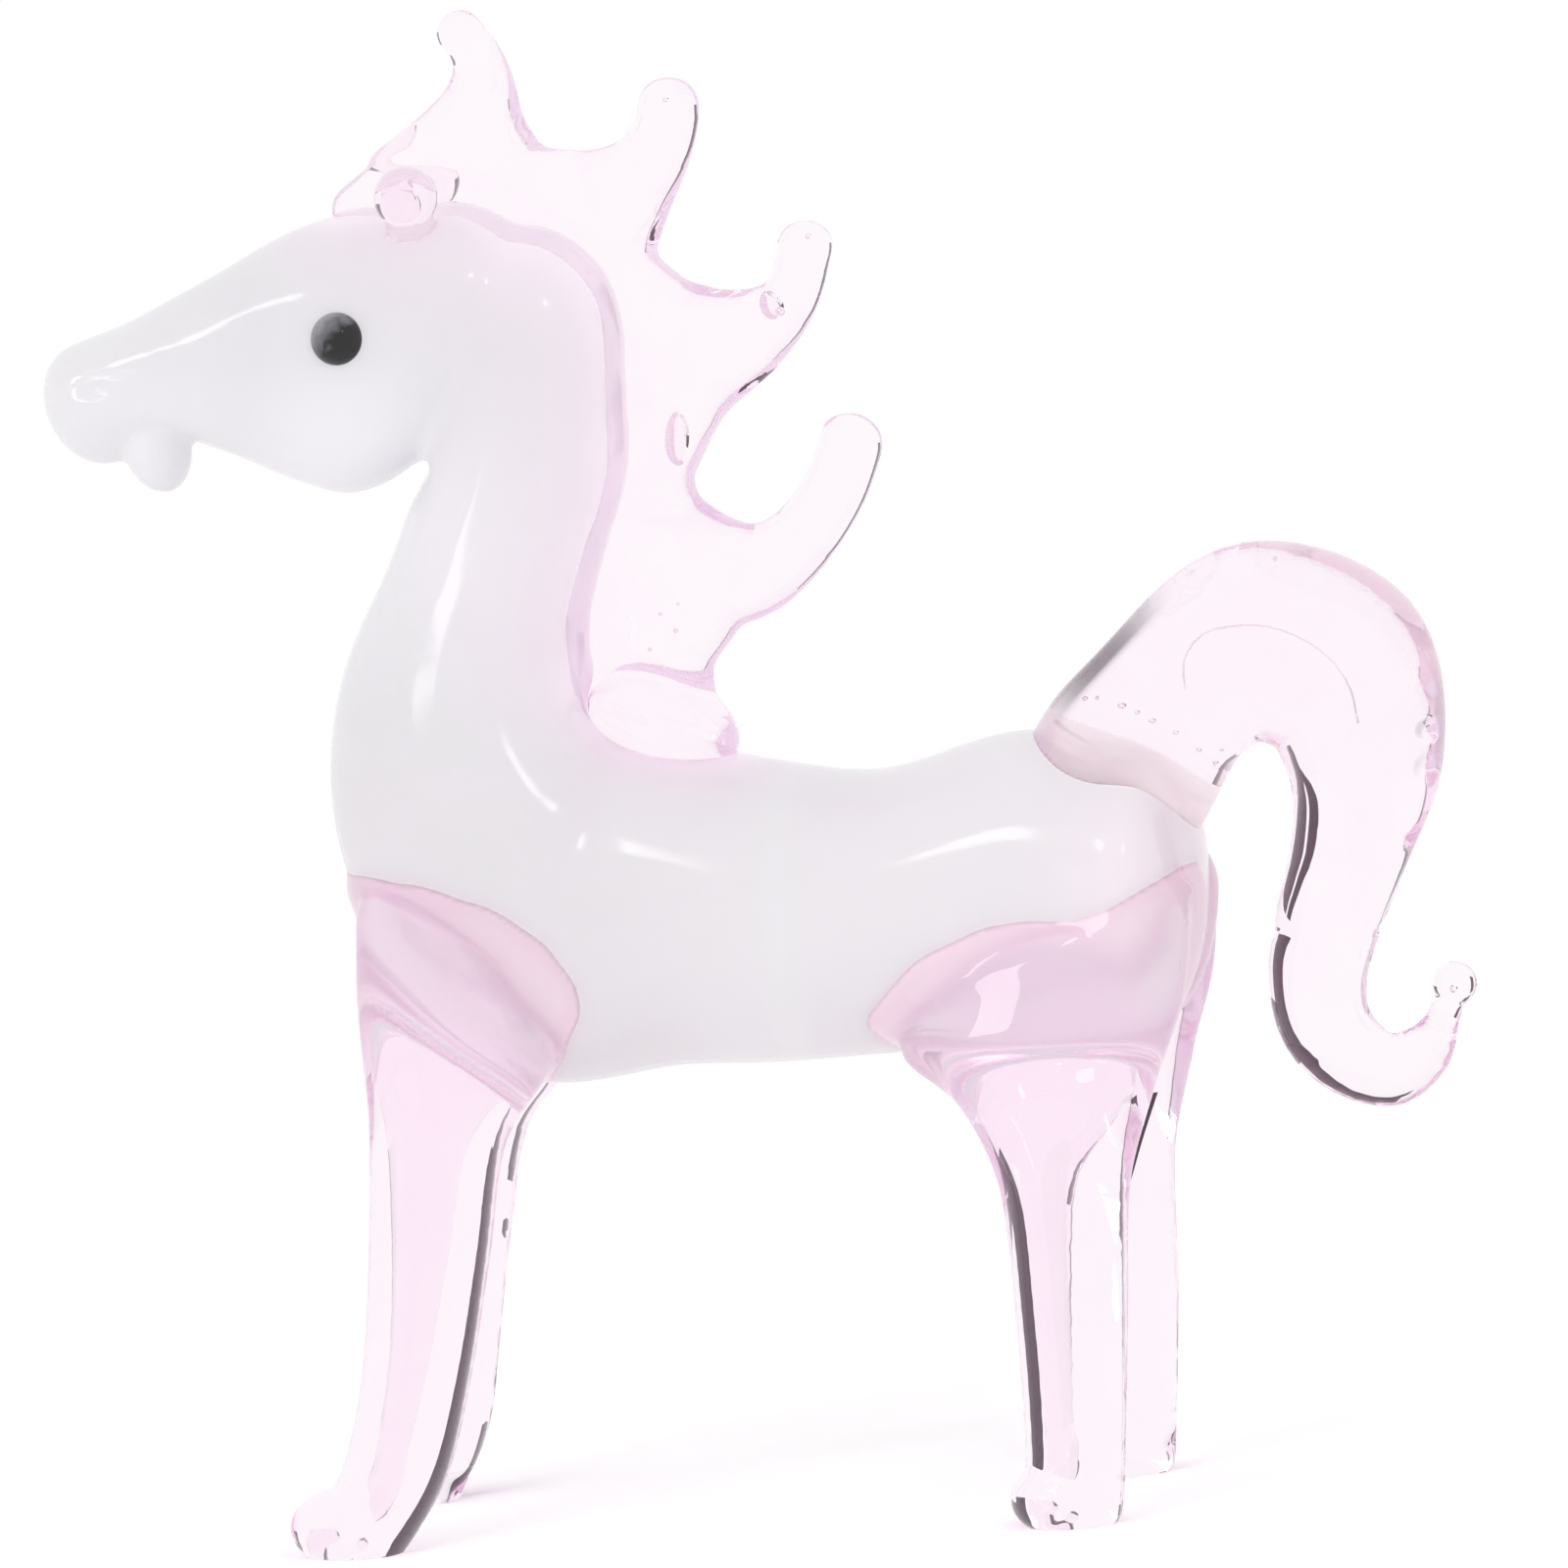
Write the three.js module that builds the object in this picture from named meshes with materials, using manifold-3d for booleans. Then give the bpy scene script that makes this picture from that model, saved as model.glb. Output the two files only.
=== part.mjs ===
import * as THREE from 'three';
import { mergeVertices } from 'three/addons/utils/BufferGeometryUtils.js';
import Module from 'manifold-3d';

const wasm = await Module();
wasm.setup();

// A flame-worked glass horse. Millimetres, +Z up, soles on Z = 0, muzzle towards -X.
// Every piece is a gather: a ball of soft glass drawn out along a spine. A station of a
// spine says how far aft of its anchor and how high above it the centre sits, and the
// half depth (in the plane of the spine) and half width (across it, along Y). A heading,
// in degrees above aft, turns the section where the spine bends tightly.

// Barrel and neck, opal glass
const AXIS_HEIGHT = 27.5;
const RUMP = { aft: 16.8, rise: 0.2, depth: 6.7, width: 6.6 };
const CROUP = { aft: 12.3, rise: 0.5, depth: 7.2, width: 7.1 };
const LOIN = { aft: 6.0, rise: -0.2, depth: 6.5, width: 6.7 };
const GIRTH = { aft: 0.5, rise: 0.0, depth: 6.9, width: 7.1 };
const WITHERS = { aft: -4.8, rise: 0.8, depth: 7.6, width: 7.4, heading: 180 };
const SHOULDER = { aft: -9.2, rise: 0.95, depth: 8.5, width: 7.5, heading: 157.5 };
const CHEST = { aft: -12.4, rise: 3.9, depth: 8.0, width: 7.2, heading: 135 };
const NECK_ROOT = { aft: -13.5, rise: 7.8, depth: 6.8, width: 6.4, heading: 112.5 };
const NECK = { aft: -13.2, rise: 11.4, depth: 5.9, width: 5.5, heading: 90 };
const THROAT = { aft: -11.9, rise: 15.4, depth: 4.9, width: 4.7 };
const CREST = { aft: -9.5, rise: 22.0, depth: 4.6, width: 4.4 };
const POLL = { aft: -9.2, rise: 26.3, depth: 4.5, width: 4.2 };
const RUMP_ROUND = 4.0;
const POLL_ROUND = 4.0;

// Head, opal glass, placed from the poll
const NAPE = { aft: -2.6, rise: 1.6, depth: 5.2, width: 4.4 };
const CHEEK = { aft: -6.8, rise: 0.45, depth: 6.6, width: 4.9 };
const BROW = { aft: -10.4, rise: 0.25, depth: 5.8, width: 4.6 };
const FACE = { aft: -14.2, rise: 0.0, depth: 4.05, width: 3.7 };
const NOSE = { aft: -17.8, rise: -0.6, depth: 3.0, width: 2.9 };
const MUZZLE = { aft: -20.5, rise: -1.3, depth: 2.8, width: 2.8 };
const NAPE_ROUND = 3.0;
const MUZZLE_ROUND = 2.3;

// Small dabs on the head, placed from the poll
const LIP = { aft: -17.5, rise: -3.4, length: 1.7, height: 2.1, width: 2.0 };
const EYE = { aft: -7.8, rise: 1.2, radius: 1.35, bulge: 1.1, sink: 0.25 };
const EAR = { aft: -4.5, rise: 7.3, out: 3.0, radius: 1.45 };

// Mane, pink glass: the forelock and the poll lock are placed from the poll, the crest
// lock from the crest, the withers lock and the base dab from the neck
const FORELOCK_ROOT = { aft: -4.0, rise: 4.4, depth: 5.6, width: 3.7, heading: 90 };
const FORELOCK_BASE = { aft: -3.6, rise: 7.3, depth: 5.9, width: 2.9, heading: 95 };
const FORELOCK_WEB = { aft: -2.75, rise: 9.15, depth: 3.65, width: 2.1, heading: 90 };
const FORELOCK_SLOPE = { aft: -2.1, rise: 10.55, depth: 2.2, width: 1.7, heading: 90 };
const FORELOCK_WAIST = { aft: -1.35, rise: 11.9, depth: 1.35, width: 1.35, heading: 88 };
const FORELOCK_STEM = { aft: -1.3, rise: 13.3, depth: 1.0, width: 1.1, heading: 95 };
const FORELOCK_TIP = { aft: -2.2, rise: 14.5, depth: 0.95, width: 1.0, heading: 125 };
const FORELOCK_ROUND = 0.9;
const POLL_LOCK_ROOT = { aft: 0.8, rise: 3.6, depth: 4.8, width: 3.7, heading: 50 };
const POLL_LOCK_BASE = { aft: 3.25, rise: 6.3, depth: 4.0, width: 2.9, heading: 42 };
const POLL_LOCK_WEB = { aft: 5.2, rise: 7.3, depth: 2.25, width: 2.0, heading: 50 };
const POLL_LOCK_WAIST = { aft: 6.55, rise: 8.55, depth: 1.6, width: 1.55, heading: 65 };
const POLL_LOCK_STEM = { aft: 7.2, rise: 10.0, depth: 1.4, width: 1.4, heading: 82 };
const POLL_LOCK_TIP = { aft: 7.3, rise: 10.7, depth: 1.35, width: 1.35, heading: 85 };
const POLL_LOCK_ROUND = 1.2;
const CREST_LOCK_ROOT = { aft: 3.9, rise: 1.8, depth: 5.9, width: 3.9, heading: 8 };
const CREST_LOCK_BASE = { aft: 7.0, rise: 3.1, depth: 5.1, width: 3.0, heading: 8 };
const CREST_LOCK_WEB = { aft: 8.5, rise: 3.75, depth: 3.2, width: 2.3, heading: 10 };
const CREST_LOCK_SLOPE = { aft: 10.8, rise: 4.45, depth: 2.0, width: 1.7, heading: 20 };
const CREST_LOCK_WAIST = { aft: 12.4, rise: 5.55, depth: 1.3, width: 1.35, heading: 36 };
const CREST_LOCK_STEM = { aft: 13.15, rise: 7.3, depth: 1.15, width: 1.15, heading: 77 };
const CREST_LOCK_TIP = { aft: 13.4, rise: 8.2, depth: 1.2, width: 1.2, heading: 84 };
const CREST_LOCK_ROUND = 1.15;
const WITHERS_LOCK_ROOT = { aft: 7.2, rise: 3.4, depth: 5.0, width: 3.9, heading: 5 };
const WITHERS_LOCK_BASE = { aft: 10.85, rise: 4.0, depth: 4.4, width: 3.0, heading: 3 };
const WITHERS_LOCK_WEB = { aft: 12.3, rise: 4.2, depth: 2.7, width: 2.3, heading: 0 };
const WITHERS_LOCK_SLOPE = { aft: 14.2, rise: 4.3, depth: 2.0, width: 1.8, heading: 12 };
const WITHERS_LOCK_WAIST = { aft: 16.15, rise: 5.75, depth: 1.5, width: 1.5, heading: 42 };
const WITHERS_LOCK_STEM = { aft: 17.7, rise: 7.8, depth: 1.45, width: 1.45, heading: 65 };
const WITHERS_LOCK_TIP = { aft: 18.55, rise: 9.8, depth: 1.4, width: 1.4, heading: 65 };
const WITHERS_LOCK_ROUND = 1.3;
const MANE_BASE = { aft: 8.9, rise: -1.8, length: 3.5, height: 2.5, width: 3.9, lean: 33 };

// Tail, pink glass, placed from the croup: dab on the rump, arch, curl
const TAIL_SEAT = { aft: 3.4, rise: 3.6, depth: 4.4, width: 3.7, heading: 51 };
const TAIL_SEAM = { aft: 4.9, rise: 5.7, depth: 4.3, width: 3.7, heading: 51 };
const TAIL_COLLAR = { aft: 7.2, rise: 8.3, depth: 3.85, width: 3.5, heading: 45 };
const TAIL_ARCH = { aft: 10.6, rise: 10.6, depth: 4.5, width: 3.6, heading: 0 };
const TAIL_BEND = { aft: 14.7, rise: 8.9, depth: 4.5, width: 3.5, heading: -45 };
const TAIL_DROP = { aft: 15.4, rise: 4.7, depth: 3.55, width: 3.1, heading: -90 };
const TAIL_RUN = { aft: 14.6, rise: 1.0, depth: 2.8, width: 2.7 };
const TAIL_TAPER = { aft: 13.2, rise: -2.4, depth: 2.4, width: 2.35 };
const TAIL_RING = { aft: 12.6, rise: -4.8, depth: 2.25, width: 2.2 };
const TAIL_LOWER = { aft: 12.7, rise: -7.0, depth: 2.15, width: 2.1 };
const TAIL_CURL = { aft: 13.9, rise: -8.6, depth: 1.95, width: 1.9 };
const TAIL_CURL_FOOT = { aft: 15.9, rise: -9.1, depth: 1.65, width: 1.6 };
const TAIL_CURL_RISE = { aft: 17.5, rise: -8.1, depth: 1.2, width: 1.2 };
const TAIL_STEM = { aft: 18.3, rise: -6.7, depth: 0.8, width: 0.8 };
const TAIL_BALL = { aft: 18.8, rise: -5.5, depth: 0.95, width: 0.95 };
const TAIL_ROUND = 0.9;

// Legs, pink glass. The flare is placed from the shoulder or the croup and stands proud of
// the barrel by its wrap; the stations below it are heights above the sole. Worked by eye,
// the right legs bow a little differently from the left ones.
const FORE_TRACK = 14.4;
const FORE_BOW = 1.0;
const FORE_SHOULDER = { aft: -4.5, rise: -1.6, depth: 5.0, width: 3.0, wrap: 0.7, heading: -117 };
const FORE_ELBOW = { aft: -4.6, rise: -5.4, depth: 4.7, width: 3.2, wrap: 1.1, heading: -103 };
const FORE_ARM = { aft: -5.8, height: 18.9, depth: 3.2, width: 2.9 };
const FORE_KNEE = { aft: -6.5, height: 13.5, depth: 2.8, width: 2.65 };
const FORE_CANNON = { aft: -7.4, height: 8.0, depth: 2.5, width: 2.4 };
const FORE_FETLOCK = { aft: -8.5, height: 4.0, depth: 2.35, width: 2.3 };
const FORE_HEEL = { aft: -9.9, height: 0.8, depth: 2.2, width: 2.2 };
const FORE_TOE = { aft: -11.1, height: 1.3, length: 2.5, thickness: 1.8, width: 2.3 };
const HIND_TRACK = 14.0;
const HIND_BOW = -0.3;
const HIND_HAUNCH = { aft: 1.1, rise: -2.9, depth: 7.2, width: 3.0, wrap: 0.7, heading: -73 };
const HIND_THIGH = { aft: 0.7, rise: -5.8, depth: 6.9, width: 3.2, wrap: 1.1, heading: -80 };
const HIND_STIFLE = { aft: 1.2, height: 19.3, depth: 4.6, width: 3.0 };
const HIND_HOCK = { aft: 1.3, height: 15.2, depth: 3.0, width: 2.7 };
const HIND_CANNON = { aft: 1.3, height: 9.0, depth: 2.55, width: 2.4 };
const HIND_FETLOCK = { aft: 1.2, height: 4.2, depth: 2.3, width: 2.3 };
const HIND_HEEL = { aft: 0.9, height: 0.8, depth: 2.1, width: 2.2 };
const HIND_TOE = { aft: 0.3, height: 1.2, length: 2.2, thickness: 1.7, width: 2.3 };
const FLARE_ROUND = 2.2;
const HEEL_ROUND = 1.8;

// Clear gap left where two gathers are fused, and between two lengths of the tail
const FUSE_GAP = 0.3;
const RING_GAP = 0.45;

// Facets
const BODY_SIDES = 24;
const HEAD_SIDES = 20;
const LEG_SIDES = 16;
const TAIL_SIDES = 16;
const LOCK_SIDES = 14;
const DAB_SIDES = 14;
const DAB_RINGS = 8;
const SPAN_RINGS = 2;
const TAIL_SPAN_RINGS = 3;
const ROUND_RINGS = 4;
const MERGE_DISTANCE = 1e-5;
const SPINE_PROBE = 0.01;

const ACROSS = new THREE.Vector3(0, 1, 0);
const LEFT = -1;
const RIGHT = 1;

/** A closed geometry as a solid, with the vertices its faces share merged. */
function solidOf(geometry) {
  const bare = geometry.clone();
  bare.deleteAttribute('normal');
  bare.deleteAttribute('uv');
  const merged = mergeVertices(bare, MERGE_DISTANCE);
  const mesh = new wasm.Mesh({
    numProp: 3,
    vertProperties: merged.attributes.position.array,
    triVerts: merged.index.array,
  });
  return new wasm.Manifold(mesh);
}

/** A solid as a geometry. */
function geometryOf(solid) {
  const mesh = solid.getMesh();
  const geometry = new THREE.BufferGeometry();
  geometry.setAttribute('position', new THREE.BufferAttribute(mesh.vertProperties, 3));
  geometry.setIndex(new THREE.BufferAttribute(mesh.triVerts, 1));
  geometry.computeVertexNormals();
  return geometry;
}

/** Place stations given by aft and rise from an anchor point. */
function placed(anchor, stations) {
  return stations.map((station) => ({
    centre: new THREE.Vector3(anchor.x + station.aft, 0, anchor.z + station.rise),
    depth: station.depth,
    width: station.width,
    heading: station.heading,
  }));
}

/** The centre of a body station, to anchor other gathers on. */
function bodyPoint(station) {
  return new THREE.Vector3(station.aft, 0, AXIS_HEIGHT + station.rise);
}

/** The heading of each station: its own, or along the chord of its neighbours, unwrapped. */
function headings(stations) {
  let before = null;
  return stations.map((station, index) => {
    const ahead = stations[Math.min(index + 1, stations.length - 1)].centre;
    const behind = stations[Math.max(index - 1, 0)].centre;
    const chord = Math.atan2(ahead.z - behind.z, ahead.x - behind.x);
    const free = station.heading === undefined;
    const angle = free ? chord : THREE.MathUtils.degToRad(station.heading);
    const turns = before === null ? 0 : Math.round((before - angle) / (2 * Math.PI));
    before = angle + turns * 2 * Math.PI;
    return before;
  });
}

/** The curve through the centres of the stations. */
function spineOf(stations) {
  return new THREE.CatmullRomCurve3(stations.map((station) => station.centre));
}

/**
 * Draw a ball out along a spine through the stations.
 * `from` and `to` count stations, so part of a spine can be drawn; `startRound` and
 * `endRound` are the lengths of the rounded ends (0 gives a flat end); `grow` swells the
 * gather all round, to cut its seat in a neighbour.
 */
function gather(stations, sides, options = {}) {
  const last = stations.length - 1;
  const { from = 0, to = last, startRound = 0, endRound = 0, grow = 0 } = options;
  const { spanRings = SPAN_RINGS } = options;
  const spine = spineOf(stations);
  const turns = headings(stations);
  const section = new THREE.CatmullRomCurve3(
    stations.map((station, index) => new THREE.Vector3(station.depth, station.width, turns[index])),
    false,
    'catmullrom',
    0.5,
  );
  const spans = Math.max(2, Math.ceil(to - from) * spanRings);
  const rings = spans + 2 * ROUND_RINGS;
  const ball = new THREE.SphereGeometry(1, sides, rings);
  const position = ball.attributes.position;
  for (let ring = 0; ring <= rings; ring += 1) {
    const early = Math.max(0, ROUND_RINGS - ring);
    const late = Math.max(0, ring - ROUND_RINGS - spans);
    const along = THREE.MathUtils.clamp((ring - ROUND_RINGS) / spans, 0, 1);
    const t = (from + (to - from) * along) / last;
    const half = section.getPoint(t);
    const ahead = new THREE.Vector3(Math.cos(half.z), 0, Math.sin(half.z));
    const edge = new THREE.Vector3().crossVectors(ahead, ACROSS);
    const turn = ((early + late) / ROUND_RINGS) * (Math.PI / 2);
    const shrink = Math.cos(turn);
    const reach = late > 0 ? endRound + grow : -(startRound + grow);
    const centre = spine.getPoint(t).addScaledVector(ahead, reach * Math.sin(turn));
    for (let step = 0; step <= sides; step += 1) {
      const angle = ((step % sides) / sides) * 2 * Math.PI;
      const point = centre
        .clone()
        .addScaledVector(edge, (half.x + grow) * shrink * Math.cos(angle))
        .addScaledVector(ACROSS, (half.y + grow) * shrink * Math.sin(angle));
      position.setXYZ(ring * (sides + 1) + step, point.x, point.y, point.z);
    }
  }
  return solidOf(ball);
}

/** An egg-shaped dab with half sizes along X, Y and Z, leaned about Y by degrees. */
function dab(centre, halfX, halfY, halfZ, lean = 0) {
  const egg = new THREE.SphereGeometry(1, DAB_SIDES, DAB_RINGS);
  egg.rotateX(Math.PI / 2);
  egg.scale(halfX, halfY, halfZ);
  egg.rotateY(THREE.MathUtils.degToRad(lean));
  egg.translate(centre.x, centre.y, centre.z);
  return solidOf(egg);
}

const opal = new THREE.MeshStandardMaterial({
  name: 'opal white glass', color: 0xedebef, roughness: 0.08, metalness: 0,
});
const pink = new THREE.MeshStandardMaterial({
  name: 'clear pink glass', color: 0xf4c4de, roughness: 0.04, metalness: 0,
});
const black = new THREE.MeshStandardMaterial({
  name: 'black glass', color: 0x141016, roughness: 0.05, metalness: 0,
});

/** A named group of pieces. */
function group(name, ...members) {
  const holder = new THREE.Group();
  holder.name = name;
  holder.add(...members);
  return holder;
}

/** Wrap a solid as a named piece in its own material. */
function piece(name, solid, material) {
  const mesh = new THREE.Mesh(geometryOf(solid), material.clone());
  mesh.name = name;
  return mesh;
}

const BODY_STATIONS = placed(new THREE.Vector3(0, 0, AXIS_HEIGHT), [
  RUMP, CROUP, LOIN, GIRTH, WITHERS, SHOULDER, CHEST, NECK_ROOT, NECK, THROAT, CREST, POLL,
]);
const bodyRounds = { startRound: RUMP_ROUND, endRound: POLL_ROUND };
const poll = bodyPoint(POLL);
const crest = bodyPoint(CREST);
const neck = bodyPoint(NECK);
const croup = bodyPoint(CROUP);
const shoulder = bodyPoint(SHOULDER);

const HEAD_STATIONS = placed(poll, [NAPE, CHEEK, BROW, FACE, NOSE, MUZZLE]);
const headRounds = { startRound: NAPE_ROUND, endRound: MUZZLE_ROUND };

const bodySeat = gather(BODY_STATIONS, BODY_SIDES, { ...bodyRounds, grow: FUSE_GAP });
const headSeat = gather(HEAD_STATIONS, HEAD_SIDES, { ...headRounds, grow: FUSE_GAP });
const opalSeat = bodySeat.add(headSeat);

/** The barrel and neck, hollowed at the poll to take the head. */
function bodyPiece() {
  return gather(BODY_STATIONS, BODY_SIDES, bodyRounds).subtract(headSeat);
}

/** The head, one gather from nape to muzzle. */
function headPiece() {
  return gather(HEAD_STATIONS, HEAD_SIDES, headRounds);
}

/** The dab of the lower lip under the muzzle. */
function lipPiece() {
  const centre = new THREE.Vector3(poll.x + LIP.aft, 0, poll.z + LIP.rise);
  return dab(centre, LIP.length, LIP.width, LIP.height).subtract(headSeat);
}

/** Half the width of the head where the eye sits. */
function cheekWidthAt(aft) {
  const share = (aft - CHEEK.aft) / (BROW.aft - CHEEK.aft);
  return THREE.MathUtils.lerp(CHEEK.width, BROW.width, share);
}

/** An eye, a dot melted on to the side of the head. */
function eyePiece(side) {
  const out = side * (cheekWidthAt(EYE.aft) - EYE.sink);
  const centre = new THREE.Vector3(poll.x + EYE.aft, out, poll.z + EYE.rise);
  return dab(centre, EYE.radius, EYE.bulge, EYE.radius).subtract(headSeat);
}

/** One leg with its toe, seated on the barrel and cut flat at the sole. */
function legPiece({ anchor, bodyWidth, side, flare, shank, toe, track, bow }) {
  const topOut = (station) => bodyWidth + station.wrap - station.width;
  const lowest = flare[flare.length - 1];
  const lowestHeight = anchor.z + lowest.rise;
  const footOut = track / 2;
  const shankOut = (height) => {
    const share = 1 - height / lowestHeight;
    return THREE.MathUtils.lerp(topOut(lowest), footOut, share);
  };
  const upper = flare.map((station) => ({
    centre: new THREE.Vector3(
      anchor.x + station.aft, side * topOut(station), anchor.z + station.rise,
    ),
    depth: station.depth,
    width: station.width,
    heading: station.heading,
  }));
  const lead = side === RIGHT ? bow : 0;
  const bowed = (height) => lead * Math.sin((Math.PI * height) / lowestHeight);
  const lower = shank.map((station) => ({
    centre: new THREE.Vector3(
      anchor.x + station.aft - bowed(station.height), side * shankOut(station.height), station.height,
    ),
    depth: station.depth,
    width: station.width,
    heading: station.heading,
  }));
  const rounds = { startRound: FLARE_ROUND, endRound: HEEL_ROUND };
  const rod = gather([...upper, ...lower], LEG_SIDES, rounds);
  const toeCentre = new THREE.Vector3(anchor.x + toe.aft, side * footOut, toe.height);
  const bulb = dab(toeCentre, toe.length, toe.width, toe.thickness);
  const floorSize = 4 * (AXIS_HEIGHT + track);
  const floor = new THREE.BoxGeometry(floorSize, floorSize, floorSize);
  floor.translate(0, 0, -floorSize / 2);
  return rod.add(bulb).subtract(solidOf(floor)).subtract(bodySeat);
}

/** A station count moved along its spine by a distance. */
function moved(count, distance, stations) {
  const last = stations.length - 1;
  const spine = spineOf(stations);
  const probe = Math.sign(distance) * SPINE_PROBE;
  const reach = spine.getPoint(count / last).distanceTo(spine.getPoint((count + probe) / last));
  return count + (probe * Math.abs(distance)) / reach;
}

const forelockStations = placed(poll, [
  FORELOCK_ROOT, FORELOCK_BASE, FORELOCK_WEB, FORELOCK_SLOPE, FORELOCK_WAIST, FORELOCK_STEM,
  FORELOCK_TIP,
]);
const pollLockStations = placed(poll, [
  POLL_LOCK_ROOT, POLL_LOCK_BASE, POLL_LOCK_WEB, POLL_LOCK_WAIST, POLL_LOCK_STEM, POLL_LOCK_TIP,
]);
const crestLockStations = placed(crest, [
  CREST_LOCK_ROOT, CREST_LOCK_BASE, CREST_LOCK_WEB, CREST_LOCK_SLOPE, CREST_LOCK_WAIST,
  CREST_LOCK_STEM, CREST_LOCK_TIP,
]);
const withersLockStations = placed(neck, [
  WITHERS_LOCK_ROOT, WITHERS_LOCK_BASE, WITHERS_LOCK_WEB, WITHERS_LOCK_SLOPE, WITHERS_LOCK_WAIST,
  WITHERS_LOCK_STEM, WITHERS_LOCK_TIP,
]);

/** A mane lock, drawn to a tip from inside the crest. */
function lock(stations, round, grow = 0) {
  return gather(stations, LOCK_SIDES, { startRound: round, endRound: round, grow });
}

const forelockSeat = lock(forelockStations, FORELOCK_ROUND, FUSE_GAP);
const pollLockSeat = lock(pollLockStations, POLL_LOCK_ROUND, FUSE_GAP);
const crestLockSeat = lock(crestLockStations, CREST_LOCK_ROUND, FUSE_GAP);
const withersLockSeat = lock(withersLockStations, WITHERS_LOCK_ROUND, FUSE_GAP);

/** An ear, a ball set between the brow and the forelock. */
function earPiece(side) {
  const centre = new THREE.Vector3(poll.x + EAR.aft, side * EAR.out, poll.z + EAR.rise);
  const ball = dab(centre, EAR.radius, EAR.radius, EAR.radius);
  return ball.subtract(opalSeat).subtract(forelockSeat);
}

/** The dab that closes the mane at the withers. */
function maneBasePiece() {
  const centre = new THREE.Vector3(neck.x + MANE_BASE.aft, 0, neck.z + MANE_BASE.rise);
  return dab(centre, MANE_BASE.length, MANE_BASE.width, MANE_BASE.height, MANE_BASE.lean)
    .subtract(bodySeat)
    .subtract(withersLockSeat);
}

const TAIL = [
  TAIL_SEAT, TAIL_SEAM, TAIL_COLLAR, TAIL_ARCH, TAIL_BEND, TAIL_DROP, TAIL_RUN, TAIL_TAPER,
  TAIL_RING, TAIL_LOWER, TAIL_CURL, TAIL_CURL_FOOT, TAIL_CURL_RISE, TAIL_STEM, TAIL_BALL,
];
const tailStations = placed(croup, TAIL);
const collar = TAIL.indexOf(TAIL_COLLAR);
const ring = TAIL.indexOf(TAIL_RING);

/** A length of the tail. */
function tail(options) {
  return gather(tailStations, TAIL_SIDES, { ...options, spanRings: TAIL_SPAN_RINGS });
}

/** The dab of the tail on the rump, up to the collar. */
function tailRootPiece() {
  const to = moved(collar, -RING_GAP / 2, tailStations);
  return tail({ to }).subtract(bodySeat);
}

/** The arch of the tail, from the collar over the bend and down to the ring. */
function tailArchPiece() {
  const from = moved(collar, RING_GAP / 2, tailStations);
  const to = moved(ring, -RING_GAP / 2, tailStations);
  return tail({ from, to });
}

/** The curl of the tail, from the ring to the ball at its tip. */
function tailCurlPiece() {
  const from = moved(ring, RING_GAP / 2, tailStations);
  return tail({ from, endRound: TAIL_ROUND });
}

const opalGroup = group(
  'opal_group',
  piece('body', bodyPiece(), opal),
  piece('head', headPiece(), opal),
  piece('lower_lip', lipPiece(), opal),
  piece('eye_left', eyePiece(LEFT), black),
  piece('eye_right', eyePiece(RIGHT), black),
);

const maneGroup = group(
  'mane_group',
  piece('ear_left', earPiece(LEFT), pink),
  piece('ear_right', earPiece(RIGHT), pink),
  piece('forelock', lock(forelockStations, FORELOCK_ROUND).subtract(opalSeat), pink),
  piece(
    'mane_lock_poll',
    lock(pollLockStations, POLL_LOCK_ROUND).subtract(opalSeat).subtract(forelockSeat),
    pink,
  ),
  piece(
    'mane_lock_crest',
    lock(crestLockStations, CREST_LOCK_ROUND).subtract(opalSeat).subtract(pollLockSeat),
    pink,
  ),
  piece(
    'mane_lock_withers',
    lock(withersLockStations, WITHERS_LOCK_ROUND).subtract(opalSeat).subtract(crestLockSeat),
    pink,
  ),
  piece('mane_base', maneBasePiece(), pink),
);

/** A foreleg on one side. */
function foreleg(side) {
  return legPiece({
    anchor: shoulder,
    bodyWidth: SHOULDER.width,
    side,
    flare: [FORE_SHOULDER, FORE_ELBOW],
    shank: [FORE_ARM, FORE_KNEE, FORE_CANNON, FORE_FETLOCK, FORE_HEEL],
    toe: FORE_TOE,
    track: FORE_TRACK,
    bow: FORE_BOW,
  });
}

/** A hind leg on one side. */
function hindLeg(side) {
  return legPiece({
    anchor: croup,
    bodyWidth: CROUP.width,
    side,
    flare: [HIND_HAUNCH, HIND_THIGH],
    shank: [HIND_STIFLE, HIND_HOCK, HIND_CANNON, HIND_FETLOCK, HIND_HEEL],
    toe: HIND_TOE,
    track: HIND_TRACK,
    bow: HIND_BOW,
  });
}

const legGroup = group(
  'leg_group',
  piece('foreleg_left', foreleg(LEFT), pink),
  piece('foreleg_right', foreleg(RIGHT), pink),
  piece('hind_leg_left', hindLeg(LEFT), pink),
  piece('hind_leg_right', hindLeg(RIGHT), pink),
);

const tailGroup = group(
  'tail_group',
  piece('tail_root', tailRootPiece(), pink),
  piece('tail_arch', tailArchPiece(), pink),
  piece('tail_curl', tailCurlPiece(), pink),
);

export default group('glass_horse', opalGroup, maneGroup, legGroup, tailGroup);
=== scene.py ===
"""Looks of a flame-worked glass horse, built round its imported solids."""

import logging
import math
from dataclasses import dataclass, field, replace
from enum import Enum
from typing import Any, Iterable, Sequence

import bmesh
import bpy
from mathutils import Matrix, Vector
from mathutils.bvhtree import BVHTree

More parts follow.
